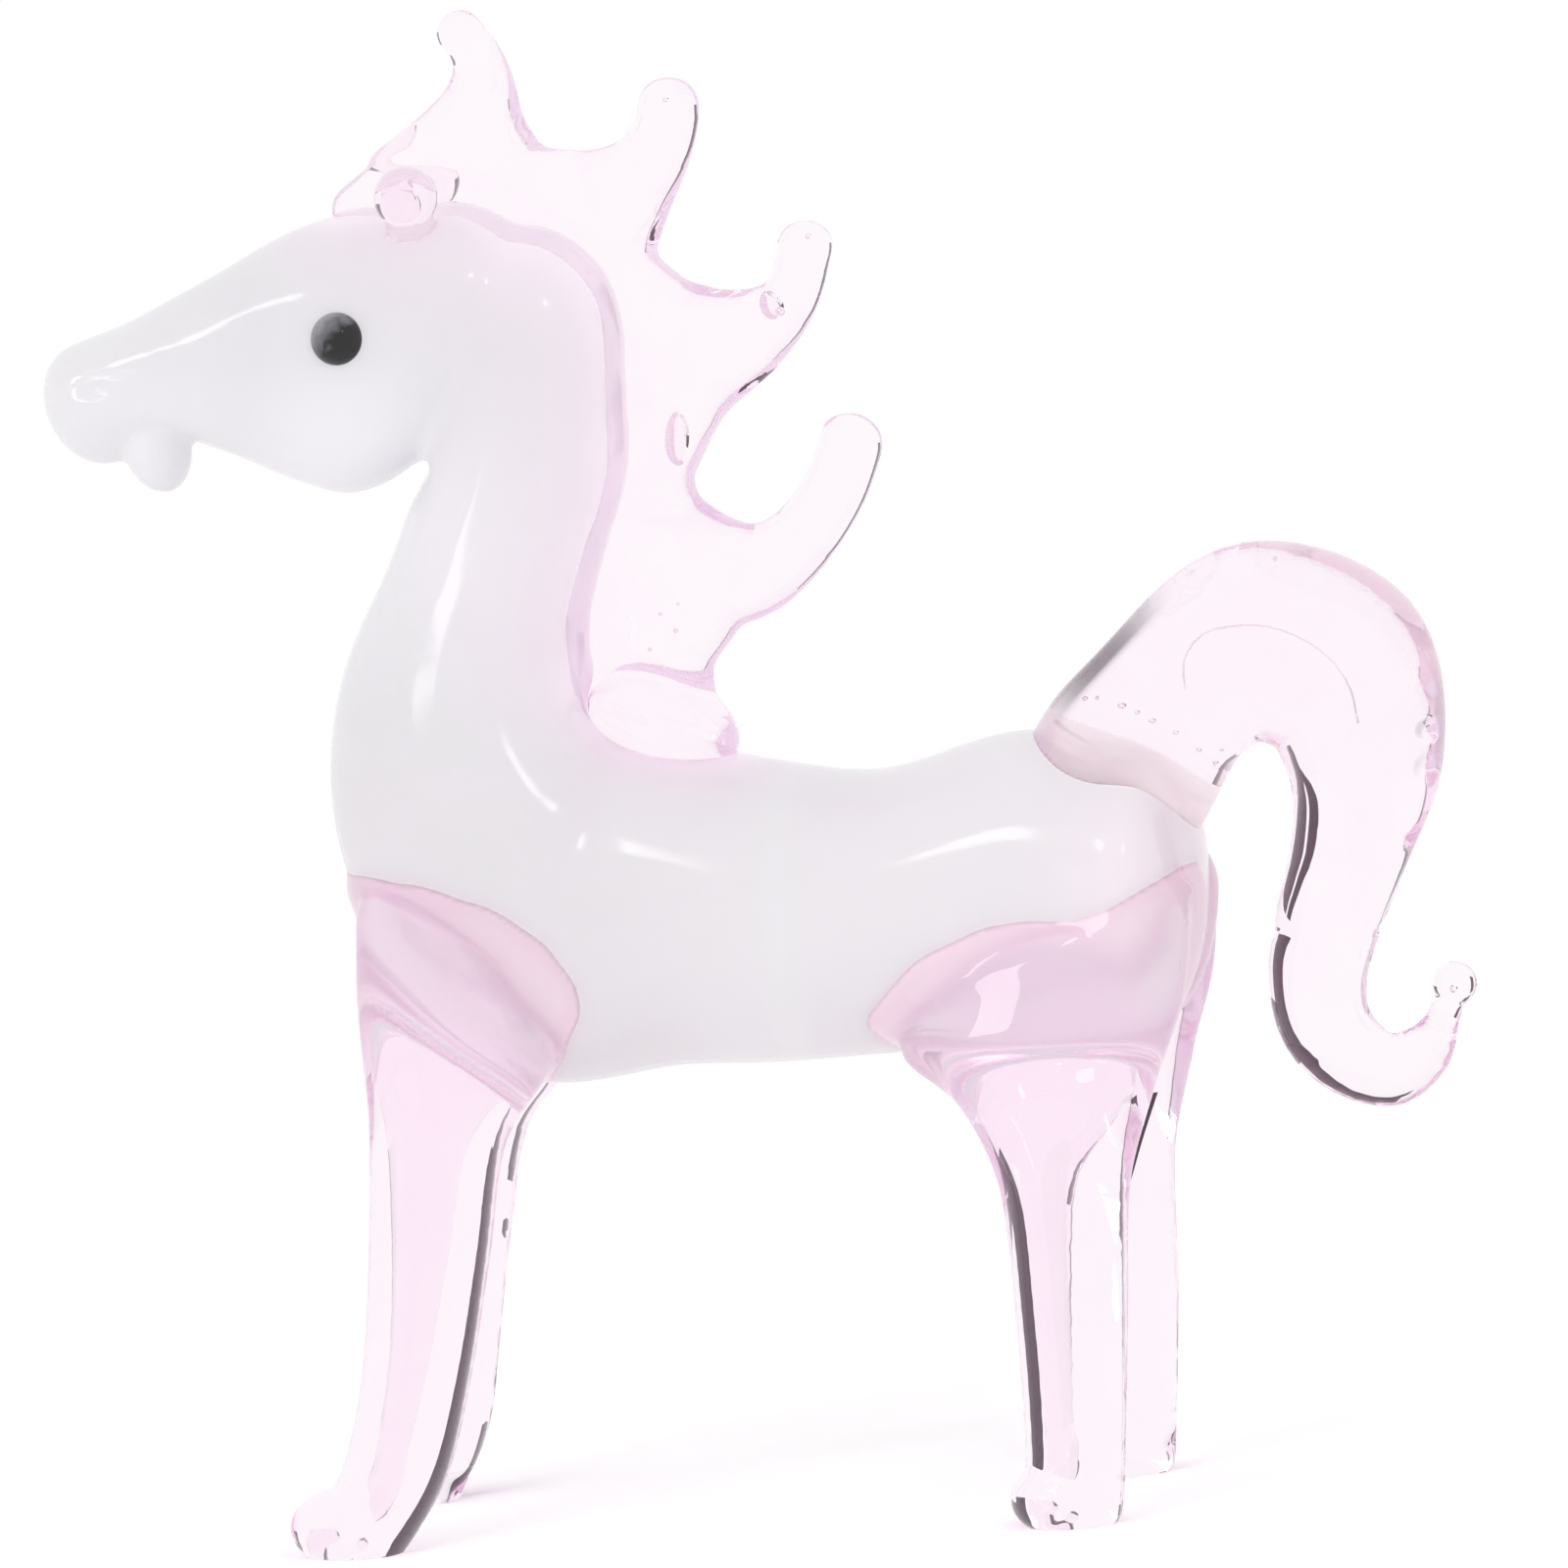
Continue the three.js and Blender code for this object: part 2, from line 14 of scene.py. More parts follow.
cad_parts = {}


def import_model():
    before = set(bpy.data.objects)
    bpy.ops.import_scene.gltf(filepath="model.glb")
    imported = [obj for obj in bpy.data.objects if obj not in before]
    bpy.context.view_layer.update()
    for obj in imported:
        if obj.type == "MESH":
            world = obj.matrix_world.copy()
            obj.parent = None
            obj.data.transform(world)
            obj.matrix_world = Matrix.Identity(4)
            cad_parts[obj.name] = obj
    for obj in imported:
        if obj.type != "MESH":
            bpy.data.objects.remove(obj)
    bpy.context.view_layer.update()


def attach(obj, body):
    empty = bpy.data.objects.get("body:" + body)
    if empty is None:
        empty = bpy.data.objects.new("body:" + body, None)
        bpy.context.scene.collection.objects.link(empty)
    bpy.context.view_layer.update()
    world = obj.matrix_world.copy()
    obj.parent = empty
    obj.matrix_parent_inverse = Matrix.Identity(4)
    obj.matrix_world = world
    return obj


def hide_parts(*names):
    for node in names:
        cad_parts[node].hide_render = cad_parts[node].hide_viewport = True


LOG = logging.getLogger("glass_horse")

# Shapes are drawn in millimetres, as in the part's source, and scaled to metres at the end
MM = 0.001
AFT = Vector((1.0, 0.0, 0.0))
ACROSS = Vector((0.0, 1.0, 0.0))
UP = Vector((0.0, 0.0, 1.0))
WHITE = "ffffff"

# How fine the shapes are drawn: rings along a gather and over its round ends, sides of dabs and balls
RING_GAP = 0.7
LEAST_RINGS = 2
ROUND_RINGS = 8
POLE_TURN = 0.985 * math.pi / 2
DAB_SEGMENTS = 48
DAB_RINGS = 24
BALL_SUBDIVISIONS = 3
FLOW_SHARE = 0.5

# Where a press has faded out, in squared reaches, and how far round a skin depths are measured, mm
PRESS_LIMIT = 6.0
SKIN_MARGIN = 4.0


class Side(Enum):
    """The two sides of the horse; the left one faces the camera."""

    LEFT = -1
    RIGHT = 1


class Slot(Enum):
    """The record's material slots."""

    OPAL = "opal_glass"
    PINK = "pink_glass"
    BLACK = "black_glass"


@dataclass(frozen=True)
class Station:
    """One section of a gather, mm: its centre from an anchor and its half sizes.

    A heading, in degrees above aft, turns the section.
    """

    aft: float
    rise: float
    depth: float
    width: float
    heading: float | None = None
    out: float = 0.0


def mesh_of(bm: bmesh.types.BMesh, name: str) -> bpy.types.Mesh:
    """A mesh datablock of a bmesh, which is freed."""
    mesh = bpy.data.meshes.new(name)
    bm.to_mesh(mesh)
    bm.free()
    return mesh


def pour(mesh: bpy.types.Mesh, bm: bmesh.types.BMesh) -> None:
    """Add a mesh to a bmesh and delete it."""
    bm.from_mesh(mesh)
    bpy.data.meshes.remove(mesh)


def open_edges(verts: Iterable[bmesh.types.BMVert]) -> list[bmesh.types.BMEdge]:
    """The open edges at the verts of a ring, in order."""
    return list(dict.fromkeys(e for v in verts for e in v.link_edges if e.is_boundary))


def settle(bm: bmesh.types.BMesh) -> None:
    """Put edges and faces in the order of their verts, so that each run cuts them alike."""
    bm.verts.index_update()
    count = len(bm.verts)

    def place(part: bmesh.types.BMEdge | bmesh.types.BMFace) -> int:
        """A number that only these verts give."""
        indices = sorted(v.index for v in part.verts)
        return sum(index * count**power for power, index in enumerate(indices))

    bm.edges.sort(key=place)
    bm.faces.sort(key=place)


def spline(values: Sequence[Vector], count: float, centripetal: bool) -> Vector:
    """A point on the curve through values.

    Args:
        values: The points or sections that the curve passes.
        count: How many values along the curve, with its fraction.
        centripetal: Whether uneven spacing is taken into account.

    Returns:
        The interpolated point.
    """
    last = len(values) - 1
    index = min(int(count), last - 1)
    share = count - index
    here, there = values[index], values[index + 1]
    before = values[index - 1] if index > 0 else 2 * here - there
    after = values[index + 2] if index + 2 <= last else 2 * there - here
    if centripetal:
        pairs = ((before, here), (here, there), (there, after))
        a, b, c = ((q - p).length ** 0.5 for p, q in pairs)
        leave = ((here - before) / a - (there - before) / (a + b) + (there - here) / b) * b
        arrive = ((there - here) / b - (after - here) / (b + c) + (after - there) / c) * b
    else:
        leave = (there - before) / 2
        arrive = (after - here) / 2
    square = 3 * (there - here) - 2 * leave - arrive
    cube = 2 * (here - there) + leave + arrive
    return here + leave * share + square * share**2 + cube * share**3


@dataclass
class Gather:
    """A ball of soft glass drawn out along a spine through its stations."""

    anchor: Vector
    stations: Sequence[Station]
    start_round: float = 0.0
    end_round: float = 0.0
    grow: float = 0.0
    sides: int = 48

    def centres(self) -> list[Vector]:
        """The centres of the stations."""
        return [self.anchor + Vector((s.aft, s.out, s.rise)) for s in self.stations]

    def headings(self) -> list[float]:
        """The heading of each station: its own, or along the chord of its neighbours.

        Returns:
            The headings in radians, without jumps from one to the next.
        """
        centres = self.centres()
        turns: list[float] = []
        for index, station in enumerate(self.stations):
            ahead = centres[min(index + 1, len(centres) - 1)]
            behind = centres[max(index - 1, 0)]
            angle = math.atan2(ahead.z - behind.z, ahead.x - behind.x)
            if station.heading is not None:
                angle = math.radians(station.heading)
            if turns:
                angle += math.tau * round((turns[-1] - angle) / math.tau)
            turns.append(angle)
        return turns

    def rings(self) -> list[Matrix]:
        """Where the unit circle goes for each section along the spine.

        Returns:
            The places from pole to pole.
        """
        centres = self.centres()
        sections = [Vector((s.depth, s.width, turn)) for s, turn in zip(self.stations, self.headings())]
        last = len(centres) - 1
        poles = [POLE_TURN * k / ROUND_RINGS for k in range(1, ROUND_RINGS + 1)]
        steps = [(0.0, -turn) for turn in reversed(poles)]
        for index in range(last):
            gap = (centres[index + 1] - centres[index]).length
            parts = max(LEAST_RINGS, math.ceil(gap / RING_GAP))
            steps += [(index + part / parts, 0.0) for part in range(parts)]
        steps += [(float(last), turn) for turn in (0.0, *poles)]
        places = []
        for count, turn in steps:
            depth, width, heading = spline(sections, count, False)
            ahead = Vector((math.cos(heading), 0.0, math.sin(heading)))
            reach = (self.end_round if turn > 0 else self.start_round) + self.grow
            centre = spline(centres, count, True) + ahead * (reach * math.sin(turn))
            shrink = math.cos(turn)
            axes = (
                ahead.cross(ACROSS) * ((depth + self.grow) * shrink),
                ACROSS * ((width + self.grow) * shrink),
                ahead,
            )
            places.append(Matrix.Translation(centre) @ Matrix(axes).transposed().to_4x4())
        return places

    def draw(self, bm: bmesh.types.BMesh) -> None:
        """Draw the gather into a mesh, as a closed shell.

        Args:
            bm: The mesh that takes the shell.
        """
        shell = bmesh.new()
        rings = self.rings()
        made = bmesh.ops.create_circle(
            shell, cap_ends=True, cap_tris=True, segments=self.sides, radius=1.0, matrix=rings[0]
        )
        edges = open_edges(made["verts"])
        for before, ring in zip(rings, rings[1:]):
            made = bmesh.ops.extrude_edge_only(shell, edges=edges)
            verts = [g for g in made["geom"] if isinstance(g, bmesh.types.BMVert)]
            bmesh.ops.transform(shell, matrix=ring @ before.inverted(), verts=verts)
            edges = open_edges(verts)
        lid = bmesh.ops.holes_fill(shell, edges=edges)["faces"]
        bmesh.ops.poke(shell, faces=lid)
        bmesh.ops.recalc_face_normals(shell, faces=shell.faces)
        pour(mesh_of(shell, "gather"), bm)


def dab(bm: bmesh.types.BMesh, centre: Vector, halves: Vector, lean: float = 0.0) -> None:
    """Set an egg-shaped dab of glass.

    Args:
        bm: The mesh that takes the dab.
        centre: Its centre, mm.
        halves: Its half sizes along X, Y and Z, mm.
        lean: Its lean about Y, degrees.
    """
    turn = Matrix.Rotation(math.radians(lean), 4, "Y")
    place = Matrix.Translation(centre) @ turn @ Matrix.Diagonal(halves).to_4x4()
    bmesh.ops.create_uvsphere(
        bm, u_segments=DAB_SEGMENTS, v_segments=DAB_RINGS, radius=1.0, matrix=place
    )


def trim(bm: bmesh.types.BMesh, point: Vector, normal: Vector) -> None:
    """Cut off what lies on the normal's side of a plane and close the cut.

    Args:
        bm: The mesh to cut.
        point: A point of the plane, mm.
        normal: The side that goes.
    """
    settle(bm)
    geom = bm.verts[:] + bm.edges[:] + bm.faces[:]
    bmesh.ops.bisect_plane(bm, geom=geom, plane_co=point, plane_no=normal, clear_outer=True)
    bmesh.ops.edgeloop_fill(bm, edges=[e for e in bm.edges if e.is_boundary])
    bmesh.ops.triangulate(bm, faces=[f for f in bm.faces if len(f.verts) > 4])


def web(bm: bmesh.types.BMesh, balls: Iterable[tuple[Vector, float]]) -> None:
    """Stretch a skin of glass round balls, which makes a slab with round rims.

    Args:
        bm: The mesh that takes the slab.
        balls: The centres and radii of the balls, mm.
    """
    hull = bmesh.new()
    for centre, radius in balls:
        place = Matrix.Translation(centre)
        bmesh.ops.create_icosphere(hull, subdivisions=BALL_SUBDIVISIONS, radius=radius, matrix=place)
    bmesh.ops.delete(hull, geom=hull.edges[:], context="EDGES_FACES")
    made = bmesh.ops.convex_hull(hull, input=hull.verts[:])
    inner = [g for g in made["geom_interior"] if isinstance(g, bmesh.types.BMVert)]
    bmesh.ops.delete(hull, geom=inner, context="VERTS")
    pour(mesh_of(hull, "slab"), bm)


def melted(bm: bmesh.types.BMesh, voxel: float, passes: int) -> bpy.types.Mesh:
    """Melt closed shells into one skin and let it flow smooth.

    Args:
        bm: The shells, mm; it is freed.
        voxel: The size of the melt's grain, mm.
        passes: How many times the skin is smoothed.

    Returns:
        The skin as a new mesh, mm.
    """
    raw = mesh_of(bm, "melt")
    holder = bpy.data.objects.new("melt", raw)
    bpy.context.scene.collection.objects.link(holder)
    melt = holder.modifiers.new("melt", "REMESH")
    melt.mode = "VOXEL"
    melt.voxel_size = voxel
    melt.adaptivity = 0.0
    flow = holder.modifiers.new("flow", "SMOOTH")
    flow.factor = FLOW_SHARE
    flow.iterations = passes
    graph = bpy.context.evaluated_depsgraph_get()
    skin = bpy.data.meshes.new_from_object(holder.evaluated_get(graph))
    bpy.data.objects.remove(holder)
    bpy.data.meshes.remove(raw)
    return skin


@dataclass(frozen=True)
class Bubble:
    """Air caught in the glass, mm: its centre and half sizes."""

    aft: float
    out: float
    rise: float
    half_aft: float
    half_rise: float
    lean: float = 0.0

    def blow(self, bm: bmesh.types.BMesh) -> None:
        """Draw the bubble.

        Args:
            bm: The mesh that takes it.
        """
        halves = Vector((self.half_aft, min(self.half_aft, self.half_rise), self.half_rise))
        dab(bm, Vector((self.aft, self.out, self.rise)), halves, self.lean)


def blown(
    mesh: bpy.types.Mesh, bubbles: Iterable[Bubble], seams: Iterable[Gather] = ()
) -> bpy.types.Mesh:
    """Set bubbles and seams of air in a piece of glass.

    Args:
        mesh: The glass, mm, which is changed.
        bubbles: The bubbles.
        seams: Thin threads of air, left where the glass was folded.

    Returns:
        The same mesh.
    """
    air = bmesh.new()
    for bubble in bubbles:
        bubble.blow(air)
    for seam in seams:
        seam.draw(air)
    bmesh.ops.reverse_faces(air, faces=air.faces)
    bm = bmesh.new()
    bm.from_mesh(mesh)
    pour(mesh_of(air, "air"), bm)
    bm.to_mesh(mesh)
    bm.free()
    return mesh


@dataclass(frozen=True)
class Press:
    """A mark of the shaping tool, mm: where it sits, how far it reaches and how deep it is.

    A reach of more than one size makes a groove. The way is the direction of the push.
    """

    centre: tuple[float, float, float]
    reach: tuple[float, float, float]
    way: tuple[float, float, float]
    depth: float

    def mark(self, mesh: bpy.types.Mesh) -> None:
        """Push the skin in.

        Args:
            mesh: The skin, mm, which is changed.
        """
        centre, push = Vector(self.centre), Vector(self.way).normalized() * self.depth
        for vert in mesh.vertices:
            away = vert.co - centre
            share = sum((value / size) ** 2 for value, size in zip(away, self.reach))
            if share < PRESS_LIMIT:
                vert.co += push * math.exp(-share)


def linear(code: str) -> tuple[float, float, float, float]:
    """Linear colour of an sRGB hex code.

    Args:
        code: Six hex digits.

    Returns:
        Red, green, blue and alpha.
    """
    shares = [int(code[i:i + 2], 16) / 255 for i in (0, 2, 4)]
    red, green, blue = (s / 12.92 if s <= 0.04045 else ((s + 0.055) / 1.055) ** 2.4 for s in shares)
    return red, green, blue, 1.0


def add(
    tree: bpy.types.NodeTree, kind: str, links: dict[Any, Any] | None = None, **settings: Any
) -> bpy.types.Node:
    """Add a node with its settings and links.

    Args:
        tree: The node tree.
        kind: The node's type name.
        links: For each input, an output to link or a value to set.
        settings: Properties of the node.

    Returns:
        The new node.
    """
    node = tree.nodes.new(kind)
    for key, value in settings.items():
        setattr(node, key, value)
    for key, value in (links or {}).items():
        if isinstance(value, bpy.types.NodeSocket):
            tree.links.new(value, node.inputs[key])
        else:
            node.inputs[key].default_value = value
    return node


def blank_material(name: str) -> tuple[bpy.types.Material, bpy.types.NodeTree, bpy.types.Node]:
    """A material with nothing but its output.

    Args:
        name: The material's name.

    Returns:
        The material, its tree and its output node.
    """
    material = bpy.data.materials.new(name)
    material.use_nodes = True
    tree = material.node_tree
    tree.nodes.clear()
    return material, tree, tree.nodes.new("ShaderNodeOutputMaterial")


@dataclass(frozen=True)
class OpalGlass:
    """Opal white soda-lime glass, flame polished.

    Its fluoride crystals send the light back, so the eye sees an even milky white with a wet
    gloss, faint wisps where the gather was folded, and pink bleeding in at the joints. The
    stain_and_fill attribute lays these pink stains together with painted fill light: lighter
    colour where the opal falls into shade and below pink glass.
    """

    milk: str = "dcdadd"
    wisp: str = "e3e1e5"
    wisp_mm: float = 9.0
    wisp_detail: float = 3.0
    wisp_curl: float = 1.4
    roughness: float = 0.1
    ior: float = 1.5

    def make(self) -> bpy.types.Material:
        """Build the material."""
        material, tree, out = blank_material("opal white glass")
        wisps = add(tree, "ShaderNodeTexNoise", {
            "Vector": add(tree, "ShaderNodeTexCoord").outputs["Object"],
            "Scale": 1 / (self.wisp_mm * MM),
            "Detail": self.wisp_detail,
            "Distortion": self.wisp_curl,
        })
        milk = add(tree, "ShaderNodeMix", {
            "Factor": wisps.outputs["Fac"], "A": linear(self.milk), "B": linear(self.wisp),
        }, data_type="RGBA")
        # Pink stains and painted fill light, which lightens shaded opal and the opal below pink glass
        stain_and_fill = add(tree, "ShaderNodeAttribute", attribute_name="stain_and_fill")
        tint = add(tree, "ShaderNodeMix", {
            "Factor": stain_and_fill.outputs["Alpha"], "A": milk.outputs["Result"], "B": stain_and_fill.outputs["Color"],
        }, data_type="RGBA")
        glass = add(tree, "ShaderNodeBsdfPrincipled", {
            "Base Color": tint.outputs["Result"], "Roughness": self.roughness, "IOR": self.ior,
        })
        tree.links.new(glass.outputs["BSDF"], out.inputs["Surface"])
        return material


@dataclass(frozen=True)
class PinkGlass:
    """Clear soda-lime glass tinted pink, drawn in the flame.

    The eye sees through it to a pale pink that deepens where the rod is thick, with hard dark
    edges where the light is bent away, and slight cords left by the flame. The dark edge is
    painted shade: a dark plum laid where the glass is seen edge-on, where the piece has it. The
    density of the pink is per metre of glass.
    """

    tint: str = "fffdfe"
    cord: str = "fdf6fb"
    cord_mm: float = 2.4
    cord_detail: float = 2.0
    cord_curl: float = 0.8
    depth_colour: str = "fd59ea"
    density: float = 11.5
    # Painted shade: dark plum laid on grazing edges where the dark_edge attribute is set
    dark_edge: str = "4a3d47"
    facing: float = 0.5
    dark_edge_from: float = 0.34
    dark_edge_to: float = 0.48
    roughness: float = 0.0
    ior: float = 1.5
    name: str = "clear pink glass"

    def make(self) -> bpy.types.Material:
        """Build the material."""
        material, tree, out = blank_material(self.name)
        cords = add(tree, "ShaderNodeTexNoise", {
            "Vector": add(tree, "ShaderNodeTexCoord").outputs["Object"],
            "Scale": 1 / (self.cord_mm * MM),
            "Detail": self.cord_detail,
            "Distortion": self.cord_curl,
        })
        tint = add(tree, "ShaderNodeMix", {
            "Factor": cords.outputs["Fac"], "A": linear(self.tint), "B": linear(self.cord),
        }, data_type="RGBA")
        # Painted shade on edges seen edge-on, where the dark_edge attribute is set
        edge = add(tree, "ShaderNodeMapRange", {
            "Value": add(tree, "ShaderNodeLayerWeight", {"Blend": self.facing}).outputs["Facing"],
            "From Min": self.dark_edge_from,
            "From Max": self.dark_edge_to,
        }, interpolation_type="SMOOTHSTEP")
        dark_edge = add(tree, "ShaderNodeAttribute", attribute_name="dark_edge")
        share = add(tree, "ShaderNodeMath", {
            0: edge.outputs["Result"], 1: dark_edge.outputs["Fac"],
        }, operation="MULTIPLY")
        shade = add(tree, "ShaderNodeMix", {
            "Factor": share.outputs["Value"], "A": tint.outputs["Result"], "B": linear(self.dark_edge),
        }, data_type="RGBA")
        glass = add(tree, "ShaderNodeBsdfPrincipled", {
            "Base Color": shade.outputs["Result"],
            "Roughness": self.roughness,
            "IOR": self.ior,
            "Transmission Weight": 1.0,
        })
        tree.links.new(glass.outputs["BSDF"], out.inputs["Surface"])
        depth = add(tree, "ShaderNodeVolumeAbsorption", {
            "Color": linear(self.depth_colour), "Density": self.density,
        })
        tree.links.new(depth.outputs["Volume"], out.inputs["Volume"])
        return material


# The mane, the ears and the tail are drawn from a paler rod than the legs
PALE_PINK = PinkGlass(density=8.5, name="clear pale pink glass")


@dataclass(frozen=True)
class BlackGlass:
    """Black manganese glass, melted on as a dot.

    The eye sees a nearly black, mirror-bright dome, with a grey swirl that is painted lighter
    towards the top and front of the dot, a painted reflection of the bright sky.
    """

    black: str = "0b090c"
    # Painted reflection: grey for the swirl and for the sky reflected on the dot's upper side
    smoke: str = "8d8b93"
    swirl_mm: float = 0.9
    swirl: float = 0.55
    swirl_detail: float = 2.0
    swirl_curl: float = 1.5
    sheen_from: float = 0.45
    sheen_to: float = 1.0
    roughness: float = 0.04
    ior: float = 1.52

    def make(self) -> bpy.types.Material:
        """Build the material."""
        material, tree, out = blank_material("black glass")
        swirl = add(tree, "ShaderNodeTexNoise", {
            "Vector": add(tree, "ShaderNodeTexCoord").outputs["Object"],
            "Scale": 1 / (self.swirl_mm * MM),
            "Detail": self.swirl_detail,
            "Distortion": self.swirl_curl,
        })
        # Painted reflection: the smoke attribute greys the upper front of the dot
        smoke = add(tree, "ShaderNodeAttribute", attribute_name="smoke")
        lighter_patch = add(tree, "ShaderNodeMath", {
            0: swirl.outputs["Fac"], 1: self.swirl, 2: smoke.outputs["Fac"],
        }, operation="MULTIPLY_ADD")
        ramp = add(tree, "ShaderNodeValToRGB", {"Fac": lighter_patch.outputs["Value"]})
        stops = ((self.sheen_from, self.black), (self.sheen_to, self.smoke))
        for element, (position, code) in zip(ramp.color_ramp.elements, stops):
            element.position = position
            element.color = linear(code)
        glass = add(tree, "ShaderNodeBsdfPrincipled", {
            "Base Color": ramp.outputs["Color"], "Roughness": self.roughness, "IOR": self.ior,
        })
        tree.links.new(glass.outputs["BSDF"], out.inputs["Surface"])
        return material


@dataclass(frozen=True)
class StudioPaper:
    """White studio paper: matt and even, so that it shows only the soft shadow."""

    white: str = "fdfdfd"
    roughness: float = 1.0

    def make(self) -> bpy.types.Material:
        """Build the material, which is plain white in gloss and through glass."""
        material, tree, out = blank_material("white studio paper")
        paper = add(tree, "ShaderNodeBsdfDiffuse", {
            "Color": linear(self.white), "Roughness": self.roughness,
        })
        sheet = add(tree, "ShaderNodeEmission", {"Color": linear(WHITE), "Strength": 1.0})
        path = add(tree, "ShaderNodeLightPath")
        seen = add(tree, "ShaderNodeMath", {
            0: path.outputs["Is Glossy Ray"], 1: path.outputs["Is Transmission Ray"],
        }, operation="MAXIMUM")
        mixed = add(tree, "ShaderNodeMixShader", {
            0: seen.outputs["Value"], 1: paper.outputs["BSDF"], 2: sheet.outputs["Emission"],
        })
        tree.links.new(mixed.outputs["Shader"], out.inputs["Surface"])
        return material


@dataclass(frozen=True)
class FlockCard:
    """Dark plum flock card, which draws the dark lines in the glass."""

    plum: str = "4f3a49"

    def make(self) -> bpy.types.Material:
        """Build the material."""
        material, tree, out = blank_material("dark flock card")
        card = add(tree, "ShaderNodeBsdfDiffuse", {"Color": linear(self.plum)})
        tree.links.new(card.outputs["BSDF"], out.inputs["Surface"])
        return material


def dressed(
    name: str, mesh: bpy.types.Mesh, material: bpy.types.Material, nodes: Sequence[str]
) -> bpy.types.Object:
    """Make a finished piece of a mesh in mm.

    Args:
        name: The piece's name.
        mesh: Its mesh, mm, which is scaled to metres.
        material: Its finish.
        nodes: The CAD nodes that it stands for.

    Returns:
        The piece, which rides on the root body.
    """
    mesh.name = name
    mesh.transform(Matrix.Scale(MM, 4))
    mesh.shade_smooth()
    mesh.materials.clear()
    mesh.materials.append(material)
    piece = bpy.data.objects.new(name, mesh)
    bpy.context.scene.collection.objects.link(piece)
    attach(piece, "root")
    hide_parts(*nodes)
    LOG.info("%s: %d faces for %s", name, len(mesh.polygons), ", ".join(nodes))
    return piece


class Skin:
    """The surface of a mesh, for measuring how near or how deep a point lies."""

    def __init__(self, mesh: bpy.types.Mesh) -> None:
        """Keep the surface and its box."""
        points = [v.co.copy() for v in mesh.vertices]
        self.tree = BVHTree.FromPolygons(points, [p.vertices[:] for p in mesh.polygons])
        self.low = Vector([min(p[axis] for p in points) for axis in range(3)])
        self.high = Vector([max(p[axis] for p in points) for axis in range(3)])

    def gap(self, point: Vector) -> float:
        """How far a point is from the surface, mm."""
        return self.tree.find_nearest(point)[3]

    def depth(self, point: Vector) -> float:
        """How deep a point lies inside, mm; outside, the gap as a negative number."""
        sides = zip(self.low, point, self.high)
        if any(not low - SKIN_MARGIN <= value <= high + SKIN_MARGIN for low, value, high in sides):
            return -SKIN_MARGIN
        near, normal, _, gap = self.tree.find_nearest(point)
        depth = (near - point).dot(normal)
        return depth if depth > 0 else -gap


def clamp(share: float) -> float:
    """A share kept between 0 and 1."""
    return min(max(share, 0.0), 1.0)


def fade(away: float, reach: float, power: int = 2) -> float:
    """How strong a colour layer still is at a distance; a higher power ends it more abruptly."""
    return math.exp(-((away / reach) ** power))


def tone(code: str) -> Vector:
    """Linear colour of an sRGB hex code, without alpha."""
    return Vector(linear(code)[:3])


def laid(layers: Iterable[tuple[float, Vector]]) -> tuple[float, float, float, float]:
    """Lay colour layers, stains and painted fill light, over one another.

    Args:
        layers: The share that each layer covers and its colour, from the lowest up.

    Returns:
        The colour that shows, with the covered share as its alpha.
    """
    share, colour = 0.0, Vector()
    for cover, hue in layers:
        share += (1 - share) * cover
        colour = colour.lerp(hue, cover / share) if cover else colour
    return (*colour, share)


@dataclass(frozen=True)
class PaintedFill:
    """Painted fill light on the opal, mm: its middle as seen from the side, its reach and its lighter
    colour.
    """

    aft: float
    rise: float
    reach: float
    colour: str

    def share(self, point: Vector) -> float:
        """How strongly the painted fill lightens a point."""
        return fade(math.hypot(point.x - self.aft, point.z - self.rise), self.reach)


@dataclass(frozen=True)
class DarkEdge:
    """A patch of painted shade on clear glass, mm: its middle as seen from the side, its reach and its
    strength.
    """

    aft: float
    rise: float
    reach: float
    strength: float
    power: int = 4

    def share(self, point: Vector) -> float:
        """How strongly a point is painted dark."""
        away = math.hypot(point.x - self.aft, point.z - self.rise)
        return self.strength * fade(away, self.reach, self.power)


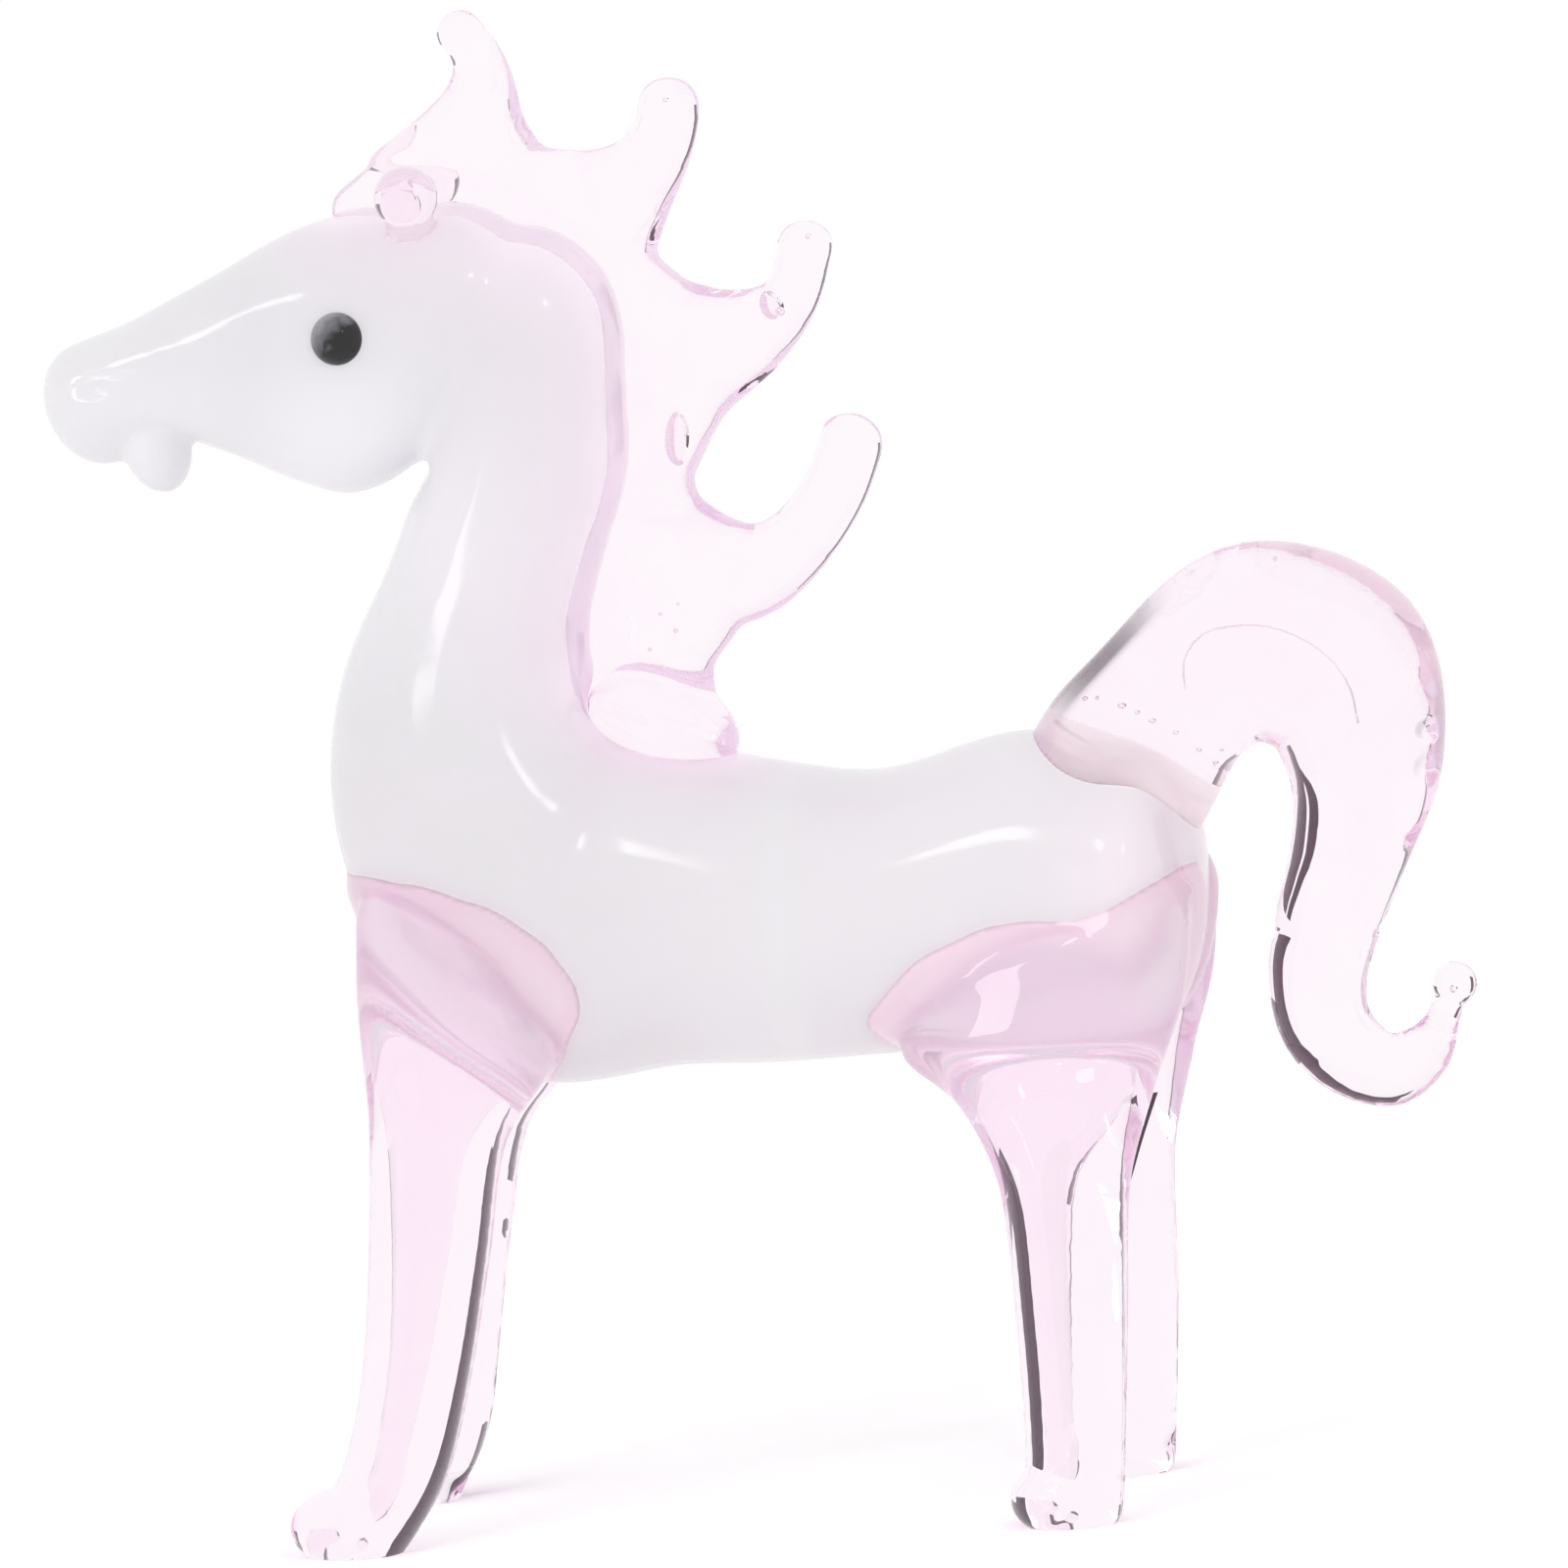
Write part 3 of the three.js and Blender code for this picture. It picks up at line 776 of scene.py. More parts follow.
@dataclass
class OpalBody:
    """Barrel, neck, head and lower lip: opal gathers melted into one skin.

    Pink bleeds in below the mane and seeps in round legs and ears. A pale rim along the mane's
    edge, and lighter patches where the opal falls into shade, are painted fill light. The opal
    below pink glass is painted lighter, to offset the shade that the glass casts: pale pink where
    the glass is thin at its border, near-white under the mane, and lavender to a faint peach
    near-white in the tail's seat.
    """

    axis_height: float = 27.5
    rump: Station = Station(16.8, 0.2, 6.7, 6.85)
    croup: Station = Station(12.3, 0.5, 7.2, 6.4)
    loin: Station = Station(6.0, -0.2, 6.5, 7.0)
    girth: Station = Station(0.5, 0.0, 6.9, 7.35)
    withers: Station = Station(-4.8, 0.8, 7.6, 7.15, 180)
    shoulder: Station = Station(-9.2, 0.95, 8.5, 7.05, 157.5)
    chest: Station = Station(-12.2, 4.1, 7.7, 7.0, 135)
    neck_root: Station = Station(-13.5, 7.8, 6.8, 6.4, 112.5)
    neck: Station = Station(-13.2, 11.4, 5.9, 5.5, 90)
    throat: Station = Station(-11.8, 15.4, 4.8, 4.7)
    crest: Station = Station(-9.5, 22.0, 4.6, 4.4)
    poll: Station = Station(-9.2, 26.3, 4.5, 4.2)
    rump_round: float = 3.4
    poll_round: float = 5.6
    head: tuple[Station, ...] = (
        Station(-3.2, 2.3, 4.6, 4.3),
        Station(-7.7, 0.4, 6.4, 4.9, 180),
        Station(-10.8, 0.2, 5.75, 4.4, 180),
        Station(-14.2, 0.05, 4.15, 3.8),
        Station(-17.8, -0.3, 2.8, 3.05),
        Station(-20.4, -1.3, 2.95, 2.85),
    )
    nape_round: float = 4.4
    muzzle_round: float = 2.3
    lip: Vector = field(default_factory=lambda: Vector((-17.7, 0.0, -3.25)))
    lip_halves: Vector = field(default_factory=lambda: Vector((1.55, 2.0, 2.35)))
    lip_lean: float = -12.0
    marks: tuple[Press, ...] = (
        Press((-28.9, -2.8, 53.3), (0.6, 0.9, 0.35), (0.0, 1.0, 0.0), 0.16),
        Press((-28.9, 2.8, 53.3), (0.6, 0.9, 0.35), (0.0, -1.0, 0.0), 0.16),
        Press((-28.6, 0.0, 51.2), (1.6, 4.0, 0.28), (1.0, 0.0, 0.25), 0.3),
        Press((-14.6, 0.0, 48.2), (0.9, 3.2, 0.9), (0.75, 0.0, 0.65), 0.9),
    )
    join_voxel: float = 0.22
    join_passes: int = 30
    voxel: float = 0.215
    passes: int = 5
    bleed: float = 0.9
    bleed_reach: float = 2.6
    bleed_colour: str = "e9dce7"
    # Painted fill light: a pale rim just outside the mane lightens the shade along the glass's edge
    rim_fill_reach: float = 1.0
    rim_fill_colour: str = "f4e9f2"
    # Painted fill light: lighter opal where shade falls, at cheek, nose, pink-tinted rump and belly
    painted_fills: tuple[PaintedFill, ...] = (
        PaintedFill(-17.0, 50.3, 5.0, "eae8ed"),
        PaintedFill(-26.5, 51.5, 3.5, "e6e4e8"),
        PaintedFill(18.8, 29.5, 4.2, "ebdfe7"),
        PaintedFill(0.0, 20.5, 5.0, "e7e5e8"),
    )
    seep: float = 0.7
    seep_reach: float = 0.07
    seep_colour: str = "dfd0da"
    # Painted fill light: opal below pink glass is painted lighter against the shade the glass casts
    thin_depth: float = 0.8
    thin_glass_fill: str = "fdf0f6"
    cover_depth: float = 0.04
    # Painted fill light below the mane, and in the tail's seat from lavender in front to faint peach
    under_mane_fill: str = "fffaff"
    peach_fill: str = "fffff8"
    lavender_fill: str = "e8e6fb"
    seat_front: float = 11.6
    seat_back: float = 14.4

    def point(self, station: Station) -> Vector:
        """The centre of a body station, mm."""
        return Vector((station.aft, 0.0, self.axis_height + station.rise))

    def trunk(self, grow: float = 0.0) -> Gather:
        """The gather of the barrel and neck, swollen all round by grow."""
        stations = (
            self.rump, self.croup, self.loin, self.girth, self.withers, self.shoulder,
            self.chest, self.neck_root, self.neck, self.throat, self.crest, self.poll,
        )
        axis = Vector((0.0, 0.0, self.axis_height))
        return Gather(axis, stations, self.rump_round, self.poll_round, grow)

    def skull(self) -> Gather:
        """The gather of the head."""
        return Gather(self.point(self.poll), self.head, self.nape_round, self.muzzle_round)

    def build(self) -> bpy.types.Mesh:
        """Melt barrel, neck, head and lip together."""
        gathers = bmesh.new()
        self.trunk().draw(gathers)
        self.skull().draw(gathers)
        bm = bmesh.new()
        dab(bm, self.point(self.poll) + self.lip, self.lip_halves, self.lip_lean)
        pour(melted(gathers, self.join_voxel, self.join_passes), bm)
        skin = melted(bm, self.voxel, self.passes)
        for mark in self.marks:
            mark.mark(skin)
        return skin

    def dress(
        self, mesh: bpy.types.Mesh, comb: Skin, mane: Skin, tail: Skin, others: Sequence[tuple[Skin, str]]
    ) -> bpy.types.Object:
        """Let the pink of the mane bleed in, paint lighter what lies below pink glass, and finish the
        piece.

        Args:
            mesh: The skin, mm.
            comb: The surface of the mane before it flowed, mm.
            mane: The surface of the finished mane, mm.
            tail: The surface of the tail, mm.
            others: The surfaces of legs and ears, mm, with the painted fill colour of the opal below them.

        Returns:
            The piece.
        """
        painted_fills = [(lighter_patch, tone(lighter_patch.colour)) for lighter_patch in self.painted_fills]
        covers = [(skin, tone(code)) for skin, code in others]
        bleed, rim = tone(self.bleed_colour), tone(self.rim_fill_colour)
        seep, thin = tone(self.seep_colour), tone(self.thin_glass_fill)
        under_mane_tone, peach_fill, lavender_fill = tone(self.under_mane_fill), tone(self.peach_fill), tone(self.lavender_fill)
        stain_and_fill = mesh.attributes.new("stain_and_fill", "FLOAT_COLOR", "POINT")
        for vert in mesh.vertices:
            point = vert.co
            gap = comb.gap(point)
            # Painted fill light at cheek, nose, rump and belly
            layers = [(lighter_patch.share(point), colour) for lighter_patch, colour in painted_fills]
            layers.append((self.bleed * fade(gap, self.bleed_reach), bleed))
            # Painted fill light: the pale rim along the mane's edge
            layers.append((fade(gap, self.rim_fill_reach), rim))
            for skin, deep in covers:
                depth = skin.depth(point)
                layers.append((self.seep * fade(min(depth, 0.0), self.seep_reach), seep))
                # Painted fill light below legs and ears, pale pink where their glass is thin
                layers.append((self.covered(depth), thin.lerp(deep, clamp(depth / self.thin_depth))))
            along = clamp((point.x - self.seat_front) / (self.seat_back - self.seat_front))
            # Painted fill light below the mane and, lavender to faint peach, in the tail's seat
            layers.append((self.covered(mane.depth(point)), under_mane_tone))
            layers.append((self.covered(tail.depth(point)), lavender_fill.lerp(peach_fill, along)))
            stain_and_fill.data[vert.index].color = laid(layers)
        return dressed("opal_body", mesh, OpalGlass().make(), ["body", "head", "lower_lip"])

    def covered(self, depth: float) -> float:
        """How fully glass covers a point that lies some depth inside it."""
        return clamp(depth / self.cover_depth)


@dataclass
class Eye:
    """A black dot melted on a cheek."""

    body: OpalBody
    side: Side
    aft: float = -7.8
    rise: float = 1.2
    radius: float = 1.22
    bulge: float = 1.1
    out: float = 4.55
    # Painted reflection: the dot greys towards its top and front, where the sky would be reflected
    sheen_aft: float = -0.4
    sheen_rise: float = 0.5
    sheen_level: float = 0.22

    def build(self) -> bpy.types.Mesh:
        """Flatten a ball to a dome and paint its upper front lighter, a painted reflection."""
        bm = bmesh.new()
        centre = self.body.point(self.body.poll) + Vector((self.aft, self.side.value * self.out, self.rise))
        dab(bm, centre, Vector((self.radius, self.bulge, self.radius)))
        mesh = mesh_of(bm, "eye")
        smoke = mesh.attributes.new("smoke", "FLOAT", "POINT")
        for vert in mesh.vertices:
            away = (vert.co - centre) / self.radius
            tilt = away.x * self.sheen_aft + away.z * self.sheen_rise
            smoke.data[vert.index].value = self.sheen_level + tilt
        return mesh

    def dress(self, mesh: bpy.types.Mesh, material: bpy.types.Material) -> bpy.types.Object:
        """Finish the piece."""
        name = f"eye_{self.side.name.lower()}"
        return dressed(name, mesh, material, [name])


@dataclass
class Ear:
    """A ball of pink glass set between brow and forelock."""

    body: OpalBody
    side: Side
    aft: float = -4.5
    rise: float = 7.3
    out: float = 3.0
    radius: float = 1.45
    foot_in: float = 0.4
    foot_drop: float = 1.2
    foot_halves: Vector = field(default_factory=lambda: Vector((1.15, 1.1, 0.9)))
    voxel: float = 0.07
    passes: int = 12
    # Painted fill light: the opal below the ear is painted lighter against the shade of the glass
    fill_below: str = "f5f4f5"

    def build(self) -> bpy.types.Mesh:
        """A ball with its foot sunk in the brow."""
        bm = bmesh.new()
        side = self.side.value
        centre = self.body.point(self.body.poll) + Vector((self.aft, side * self.out, self.rise))
        dab(bm, centre, Vector.Fill(3, self.radius))
        dab(bm, centre - Vector((0.0, side * self.foot_in, self.foot_drop)), self.foot_halves)
        return melted(bm, self.voxel, self.passes)

    def dress(self, mesh: bpy.types.Mesh, material: bpy.types.Material) -> bpy.types.Object:
        """Finish the piece."""
        name = f"ear_{self.side.name.lower()}"
        return dressed(name, mesh, material, [name])


@dataclass(frozen=True)
class Rib:
    """A rib of the mane's web, mm: its foot in the neck and its end at the rim, with their radii."""

    foot_aft: float
    foot_rise: float
    foot_radius: float
    end_aft: float
    end_rise: float
    end_radius: float

    def balls(self) -> list[tuple[Vector, float]]:
        """The balls at the foot and at the end."""
        foot = Vector((self.foot_aft, 0.0, self.foot_rise))
        end = Vector((self.end_aft, 0.0, self.end_rise))
        return [(foot, self.foot_radius), (end, self.end_radius)]


@dataclass
class ManeComb:
    """The mane: a pink web along the crest, with locks drawn out of it to round tips."""

    body: OpalBody
    ribs: tuple[Rib, ...] = (
        Rib(-16.0, 58.8, 1.6, -16.7, 60.6, 1.2),
        Rib(-13.5, 58.0, 2.1, -13.0, 63.0, 1.35),
        Rib(-11.0, 57.5, 2.3, -10.6, 62.2, 1.5),
        Rib(-9.3, 56.8, 2.3, -7.2, 61.0, 1.5),
        Rib(-7.8, 55.5, 2.3, -5.1, 60.4, 1.6),
        Rib(-7.4, 54.0, 2.3, -4.6, 57.0, 1.6),
        Rib(-7.3, 52.3, 2.3, -1.7, 54.4, 1.5),
        Rib(-7.5, 50.5, 2.3, -0.4, 52.8, 1.6),
        Rib(-8.0, 48.5, 2.4, -3.6, 48.3, 1.5),
        Rib(-8.7, 46.0, 2.4, -3.2, 45.1, 1.5),
        Rib(-9.6, 43.3, 2.5, -0.6, 43.0, 1.8),
        Rib(-10.3, 40.8, 2.6, -3.4, 39.4, 1.6),
        Rib(-10.3, 38.2, 2.8, -3.3, 37.0, 1.6),
    )
    forelock: tuple[Station, ...] = (
        Station(-2.75, 9.15, 4.05, 1.7, 90),
        Station(-2.05, 10.55, 2.6, 1.6, 90),
        Station(-1.3, 11.9, 1.65, 1.4, 88),
        Station(-1.3, 13.3, 1.2, 1.15, 95),
        Station(-2.2, 14.6, 1.1, 1.05, 125),
    )
    poll_lock: tuple[Station, ...] = (
        Station(3.25, 6.3, 4.0, 1.9, 42),
        Station(5.2, 7.3, 2.35, 1.8, 50),
        Station(6.55, 8.55, 1.65, 1.6, 65),
        Station(7.2, 10.0, 1.45, 1.45, 82),
        Station(7.3, 10.7, 1.4, 1.4, 85),
    )
    crest_lock: tuple[Station, ...] = (
        Station(7.0, 3.1, 4.9, 1.9, 8),
        Station(8.5, 3.75, 3.2, 1.85, 10),
        Station(10.8, 4.45, 2.05, 1.65, 20),
        Station(12.4, 5.55, 1.4, 1.4, 36),
        Station(13.15, 7.3, 1.25, 1.25, 77),
        Station(13.4, 8.2, 1.3, 1.3, 84),
    )
    withers_lock: tuple[Station, ...] = (
        Station(10.85, 4.0, 4.3, 1.95, 3),
        Station(12.3, 4.2, 2.75, 1.9, 0),
        Station(14.2, 4.3, 2.05, 1.8, 12),
        Station(16.15, 5.75, 1.6, 1.6, 42),
        Station(17.7, 7.8, 1.5, 1.5, 65),
        Station(18.55, 9.8, 1.5, 1.5, 65),
    )
    rounds: tuple[float, ...] = (0.9, 1.2, 1.15, 1.3)
    base: Vector = field(default_factory=lambda: Vector((8.7, 0.0, -2.2)))
    base_halves: Vector = field(default_factory=lambda: Vector((4.0, 3.6, 2.2)))
    base_lean: float = 27.0
    bubbles: tuple[Bubble, ...] = (
        Bubble(2.3, -0.4, 55.0, 0.55, 0.6),
        Bubble(2.7, -0.9, 54.8, 0.22, 0.2),
        Bubble(-2.6, -0.3, 49.4, 0.55, 1.25, 8.0),
        Bubble(-3.9, -0.8, 39.0, 0.14, 0.1),
        Bubble(-4.5, -0.5, 39.9, 0.1, 0.12),
        Bubble(-4.5, 0.3, 39.0, 0.12, 0.1),
        Bubble(-3.3, -0.2, 40.7, 0.1, 0.13),
        Bubble(-4.0, 0.2, 41.5, 0.09, 0.09),
        Bubble(-3.0, -0.6, 41.9, 0.08, 0.08),
        Bubble(-1.9, -0.5, 64.6, 0.12, 0.12),
        Bubble(4.1, -0.4, 58.0, 0.12, 0.12),
    )
    voxel: float = 0.18
    passes: int = 26

    def build(self) -> bpy.types.Mesh:
        """Fuse web, locks and base dab."""
        bm = bmesh.new()
        self.comb(bm)
        return blown(melted(bm, self.voxel, self.passes), self.bubbles)

    def skin(self) -> Skin:
        """The surface of the mane before it flows."""
        bm = bmesh.new()
        self.comb(bm)
        return Skin(mesh_of(bm, "comb"))

    def comb(self, bm: bmesh.types.BMesh) -> None:
        """Draw web, locks and base dab.

        Args:
            bm: The mesh that takes them.
        """
        for rib, after in zip(self.ribs, self.ribs[1:]):
            web(bm, rib.balls() + after.balls())
        poll = self.body.point(self.body.poll)
        crest = self.body.point(self.body.crest)
        neck = self.body.point(self.body.neck)
        anchors = (poll, poll, crest, neck)
        locks = (self.forelock, self.poll_lock, self.crest_lock, self.withers_lock)
        for anchor, stations, end in zip(anchors, locks, self.rounds):
            Gather(anchor, stations, end, end).draw(bm)
        dab(bm, neck + self.base, self.base_halves, self.base_lean)

    def dress(self, mesh: bpy.types.Mesh, material: bpy.types.Material) -> bpy.types.Object:
        """Finish the piece."""
        nodes = ["forelock", "mane_lock_poll", "mane_lock_crest", "mane_lock_withers", "mane_base"]
        return dressed("mane_comb", mesh, material, nodes)


@dataclass(frozen=True)
class LegShape:
    """The sizes of a leg, mm: flare stations from the anchor, shank stations above the sole.

    Wraps are how far the flare stands out from the barrel. Caps are the corners, aft and rise,
    of the thin glass that lies on the barrel. The bow and the lead are those of the right leg.
    Fill below is the colour painted on the opal under the leg, lighter for a leg that the
    softboxes don't light; softboxes shine on a leg that is lit.
    """

    flare: tuple[Station, ...]
    wraps: tuple[float, ...]
    shank: tuple[Station, ...]
    toe: Vector
    toe_halves: Vector
    track: float
    bow: float
    lead: float
    fill_below: str
    lit: bool
    caps: tuple[tuple[tuple[float, float], ...], ...]


FORE_SHAPE = LegShape(
    flare=(Station(-4.5, -1.6, 5.0, 3.0, -117), Station(-4.6, -5.4, 4.7, 3.2, -103)),
    wraps=(0.3, 0.8),
    shank=(
        Station(-5.8, 18.9, 3.2, 2.9),
        Station(-6.5, 13.5, 2.8, 2.65),
        Station(-7.4, 8.0, 2.5, 2.4),
        Station(-8.5, 4.0, 2.35, 2.3),
        Station(-10.2, 0.9, 2.05, 2.2),
    ),
    toe=Vector((-11.1, 0.0, 1.3)),
    toe_halves=Vector((2.5, 2.3, 1.8)),
    track=14.4,
    bow=1.0,
    lead=0.45,
    # Painted fill light: the forelegs' opal is painted lighter, as the softboxes don't shine on them
    fill_below="f5eef2",
    lit=False,
    caps=(
        (
            (-24.0, 30.2), (-17.4, 30.0), (-14.5, 29.6), (-11.5, 28.5), (-9.3, 26.8), (-8.3, 25.2),
            (-8.2, 23.0), (-10.7, 20.4), (-13.0, 17.0), (-24.0, 17.0),
        ),
    ),
)

HIND_SHAPE = LegShape(
    flare=(Station(1.1, -2.9, 6.9, 3.0, -73), Station(0.7, -5.8, 6.6, 3.2, -80)),
    wraps=(0.3, 0.8),
    shank=(
        Station(1.2, 19.3, 4.6, 3.0),
        Station(1.3, 15.2, 3.0, 2.7),
        Station(1.3, 9.0, 2.55, 2.4),
        Station(1.2, 4.2, 2.3, 2.3),
        Station(1.05, 0.8, 2.2, 2.2),
    ),
    toe=Vector((0.3, 0.0, 1.2)),
    toe_halves=Vector((2.2, 2.3, 1.7)),
    track=14.0,
    bow=-0.3,
    lead=-0.2,
    # Painted fill light: less light than the forelegs', as the softboxes shine on the hind legs
    fill_below="ece5ea",
    lit=True,
    caps=(
        ((5.4, 22.6), (8.1, 25.3), (10.8, 26.4), (14.6, 26.6), (18.0, 24.0), (17.0, 17.0), (10.0, 17.0)),
        ((11.5, 24.8), (19.9, 28.5), (25.0, 28.5), (25.0, 17.0), (13.0, 17.0)),
    ),
)


@dataclass
class Leg:
    """A drawn rod of pink glass, flared over the barrel and pinched to a toe."""

    body: OpalBody
    node: str
    side: Side
    shape: LegShape
    anchor: Vector
    body_width: float
    flare_round: float = 2.2
    heel_round: float = 1.8
    sink: float = 0.08
    cap_thickness: float = 0.4
    midline: float = 1.0
    reach_aft: float = 11.0
    reach_up: float = 8.0
    foot_voxel: float = 0.2
    foot_passes: int = 60
    voxel: float = 0.15
    passes: int = 28

    def rod(self) -> Gather:
        """The gather of the leg, placed as in the part's source."""
        side = self.side.value
        shape = self.shape
        tops = [self.body_width + w - s.width for s, w in zip(shape.flare, shape.wraps)]
        knee_height = self.anchor.z + shape.flare[-1].rise
        bow = shape.bow if self.side is Side.RIGHT else 0.0
        stations = [replace(s, out=side * top) for s, top in zip(shape.flare, tops)]
        for station in shape.shank:
            share = 1 - station.rise / knee_height
            out = tops[-1] + (shape.track / 2 - tops[-1]) * share
            bowed = self.lead() + bow * math.sin(math.pi * station.rise / knee_height)
            stations.append(replace(
                station, aft=station.aft - bowed, rise=station.rise - self.anchor.z, out=side * out
            ))
        return Gather(self.anchor, stations, self.flare_round, self.heel_round)

    def build(self) -> bpy.types.Mesh:
        """Fuse the rod, its toe and a sunken piece of the barrel, so that the flare feathers out."""
        foot = bmesh.new()
        self.body.trunk(-self.sink).draw(foot)
        for way, reach in ((AFT, self.reach_aft), (-AFT, self.reach_aft), (UP, self.reach_up)):
            trim(foot, self.anchor + way * reach, way)
        self.halve(foot)
        for outline in self.shape.caps:
            self.cap(foot, outline)
        bm = bmesh.new()
        self.rod().draw(bm)
        step = Vector((self.anchor.x - self.lead(), self.side.value * self.shape.track / 2, 0.0))
        dab(bm, self.shape.toe + step, self.shape.toe_halves)
        pour(melted(foot, self.foot_voxel, self.foot_passes), bm)
        skin = bmesh.new()
        pour(melted(bm, self.voxel, self.passes), skin)
        trim(skin, Vector(), -UP)
        return mesh_of(skin, self.node)

    @property
    def fill_below(self) -> str:
        """The painted fill colour of the opal below the leg."""
        return self.shape.fill_below

    def lead(self) -> float:
        """How far ahead of its twin the leg stands, mm."""
        return self.shape.lead if self.side is Side.RIGHT else 0.0

    def halve(self, bm: bmesh.types.BMesh) -> None:
        """Keep the leg's side of the barrel."""
        outward = ACROSS * self.side.value
        trim(bm, outward * self.midline, -outward)

    def cap(self, bm: bmesh.types.BMesh, outline: Sequence[tuple[float, float]]) -> None:
        """Draw a thin cap that lies on the barrel.

        Args:
            bm: The mesh that takes the cap.
            outline: The corners of the cap seen from the side, aft and rise, clockwise.
        """
        sheet = bmesh.new()
        self.body.trunk(self.cap_thickness).draw(sheet)
        self.halve(sheet)
        for (aft, rise), (next_aft, next_rise) in zip(outline, (*outline[1:], outline[0])):
            away = Vector((rise - next_rise, 0.0, next_aft - aft))
            trim(sheet, Vector((aft, 0.0, rise)), away.normalized())
        pour(mesh_of(sheet, "cap"), bm)

    def dress(self, mesh: bpy.types.Mesh, material: bpy.types.Material) -> bpy.types.Object:
        """Finish the piece."""
        return dressed(self.node, mesh, material, [self.node])


@dataclass
class Tail:
    """The tail: a dab on the rump, folded over in an arch and drawn out to a curl."""

    body: OpalBody
    stations: tuple[Station, ...] = (
        Station(3.4, 3.6, 4.4, 4.4, 51),
        Station(4.85, 5.75, 4.35, 4.3, 51),
        Station(7.1, 8.35, 3.95, 3.9, 45),
        Station(10.6, 10.6, 4.5, 4.3, 0),
        Station(14.7, 8.9, 4.5, 3.7, -45),
        Station(15.4, 4.7, 3.55, 3.0, -90),
        Station(14.45, 1.0, 2.7, 2.65),
        Station(13.2, -2.4, 2.4, 2.35),
        Station(12.6, -4.8, 2.25, 2.2),
        Station(12.85, -7.0, 2.1, 2.1),
        Station(14.05, -8.45, 1.9, 1.9),
        Station(15.9, -9.1, 1.65, 1.6),
        Station(17.5, -8.1, 1.2, 1.2),
        Station(18.2, -6.8, 0.75, 0.75),
        Station(18.7, -5.6, 0.7, 0.7),
    )
    root_round: float = 0.5
    tip_round: float = 0.6
    ball: Vector = field(default_factory=lambda: Vector((18.8, 0.0, -5.35)))
    ball_radius: float = 1.02
    marks: tuple[Press, ...] = (
        Press((23.0, 0.0, 25.4), (0.8, 4.0, 0.3), (1.0, 0.0, 0.0), 0.14),
        Press((27.6, 0.0, 25.4), (0.8, 4.0, 0.3), (-1.0, 0.0, 0.0), 0.14),
        Press((30.6, -1.9, 36.2), (0.7, 0.9, 0.7), (-0.7, 0.7, 0.0), 0.3),
        Press((30.9, -1.6, 34.3), (0.6, 0.9, 0.5), (-0.7, 0.7, 0.0), 0.32),
        Press((30.6, -1.5, 32.6), (0.6, 0.9, 0.7), (-0.7, 0.7, 0.0), 0.28),
        Press((29.3, -1.5, 29.6), (0.6, 0.8, 0.6), (-0.7, 0.7, 0.0), 0.3),
    )
    bubbles: tuple[Bubble, ...] = (
        Bubble(15.7, -2.6, 36.6, 0.16, 0.12),
        Bubble(16.3, -2.4, 36.5, 0.1, 0.1),
        Bubble(17.4, -2.3, 36.1, 0.2, 0.14),
        Bubble(18.0, -2.1, 35.8, 0.12, 0.1),
        Bubble(18.6, -2.4, 35.5, 0.18, 0.12),
        Bubble(19.5, -2.2, 35.0, 0.14, 0.12),
        Bubble(20.4, -2.1, 34.2, 0.14, 0.12),
        Bubble(21.2, -1.9, 33.4, 0.16, 0.18),
        Bubble(21.4, -1.7, 34.1, 0.1, 0.1),
        Bubble(24.4, -1.0, 41.9, 0.1, 0.13),
        Bubble(31.1, -0.4, 22.5, 0.16, 0.16),
    )
    seam: tuple[tuple[float, float, float], ...] = (
        (20.3, -2.6, 36.9),
        (20.4, -2.8, 38.1),
        (21.3, -2.9, 39.2),
        (22.6, -2.9, 39.5),
        (24.2, -2.8, 39.4),
        (25.8, -2.7, 38.7),
        (27.0, -2.4, 37.6),
        (27.6, -2.2, 36.4),
        (27.8, -2.0, 34.9),
    )
    seam_depth: float = 0.05
    seam_width: float = 0.12
    # Painted shade: dark edges at the front of the root and on the rear of the arch
    dark_edges: tuple[DarkEdge, ...] = (DarkEdge(15.6, 39.2, 3.6, 1.0), DarkEdge(30.2, 34.6, 2.6, 0.45))
    voxel: float = 0.13
    passes: int = 14

    def build(self) -> bpy.types.Mesh:
        """Draw the tail as one gather, let its fold flow and leave air in it."""
        bm = bmesh.new()
        croup = self.body.point(self.body.croup)
        Gather(croup, self.stations, self.root_round, self.tip_round).draw(bm)
        dab(bm, croup + self.ball, Vector.Fill(3, self.ball_radius))
        skin = melted(bm, self.voxel, self.passes)
        for mark in self.marks:
            mark.mark(skin)
        thread = [
            Station(aft, rise, self.seam_depth, self.seam_width, out=out) for aft, out, rise in self.seam
        ]
        return blown(skin, self.bubbles, [Gather(Vector(), thread)])

    def dress(self, mesh: bpy.types.Mesh, material: bpy.types.Material) -> bpy.types.Object:
        """Paint shade on the outer edges of the root and arch, and finish the piece."""
        # The share of painted shade on each vertex
        smoke = mesh.attributes.new("dark_edge", "FLOAT", "POINT")
        for vert in mesh.vertices:
            smoke.data[vert.index].value = max(dark_edge.share(vert.co) for dark_edge in self.dark_edges)
        return dressed("tail", mesh, material, ["tail_root", "tail_arch", "tail_curl"])


@dataclass(frozen=True)
class Softbox:
    """A rectangular lamp, degrees: where it stands and how large it looks from the horse.

    The azimuth counts from the front, and dim is its share of the softboxes' brightness.
    """

    name: str
    azimuth: float
    elevation: float
    wide: float
    tall: float
    dim: float = 1.0


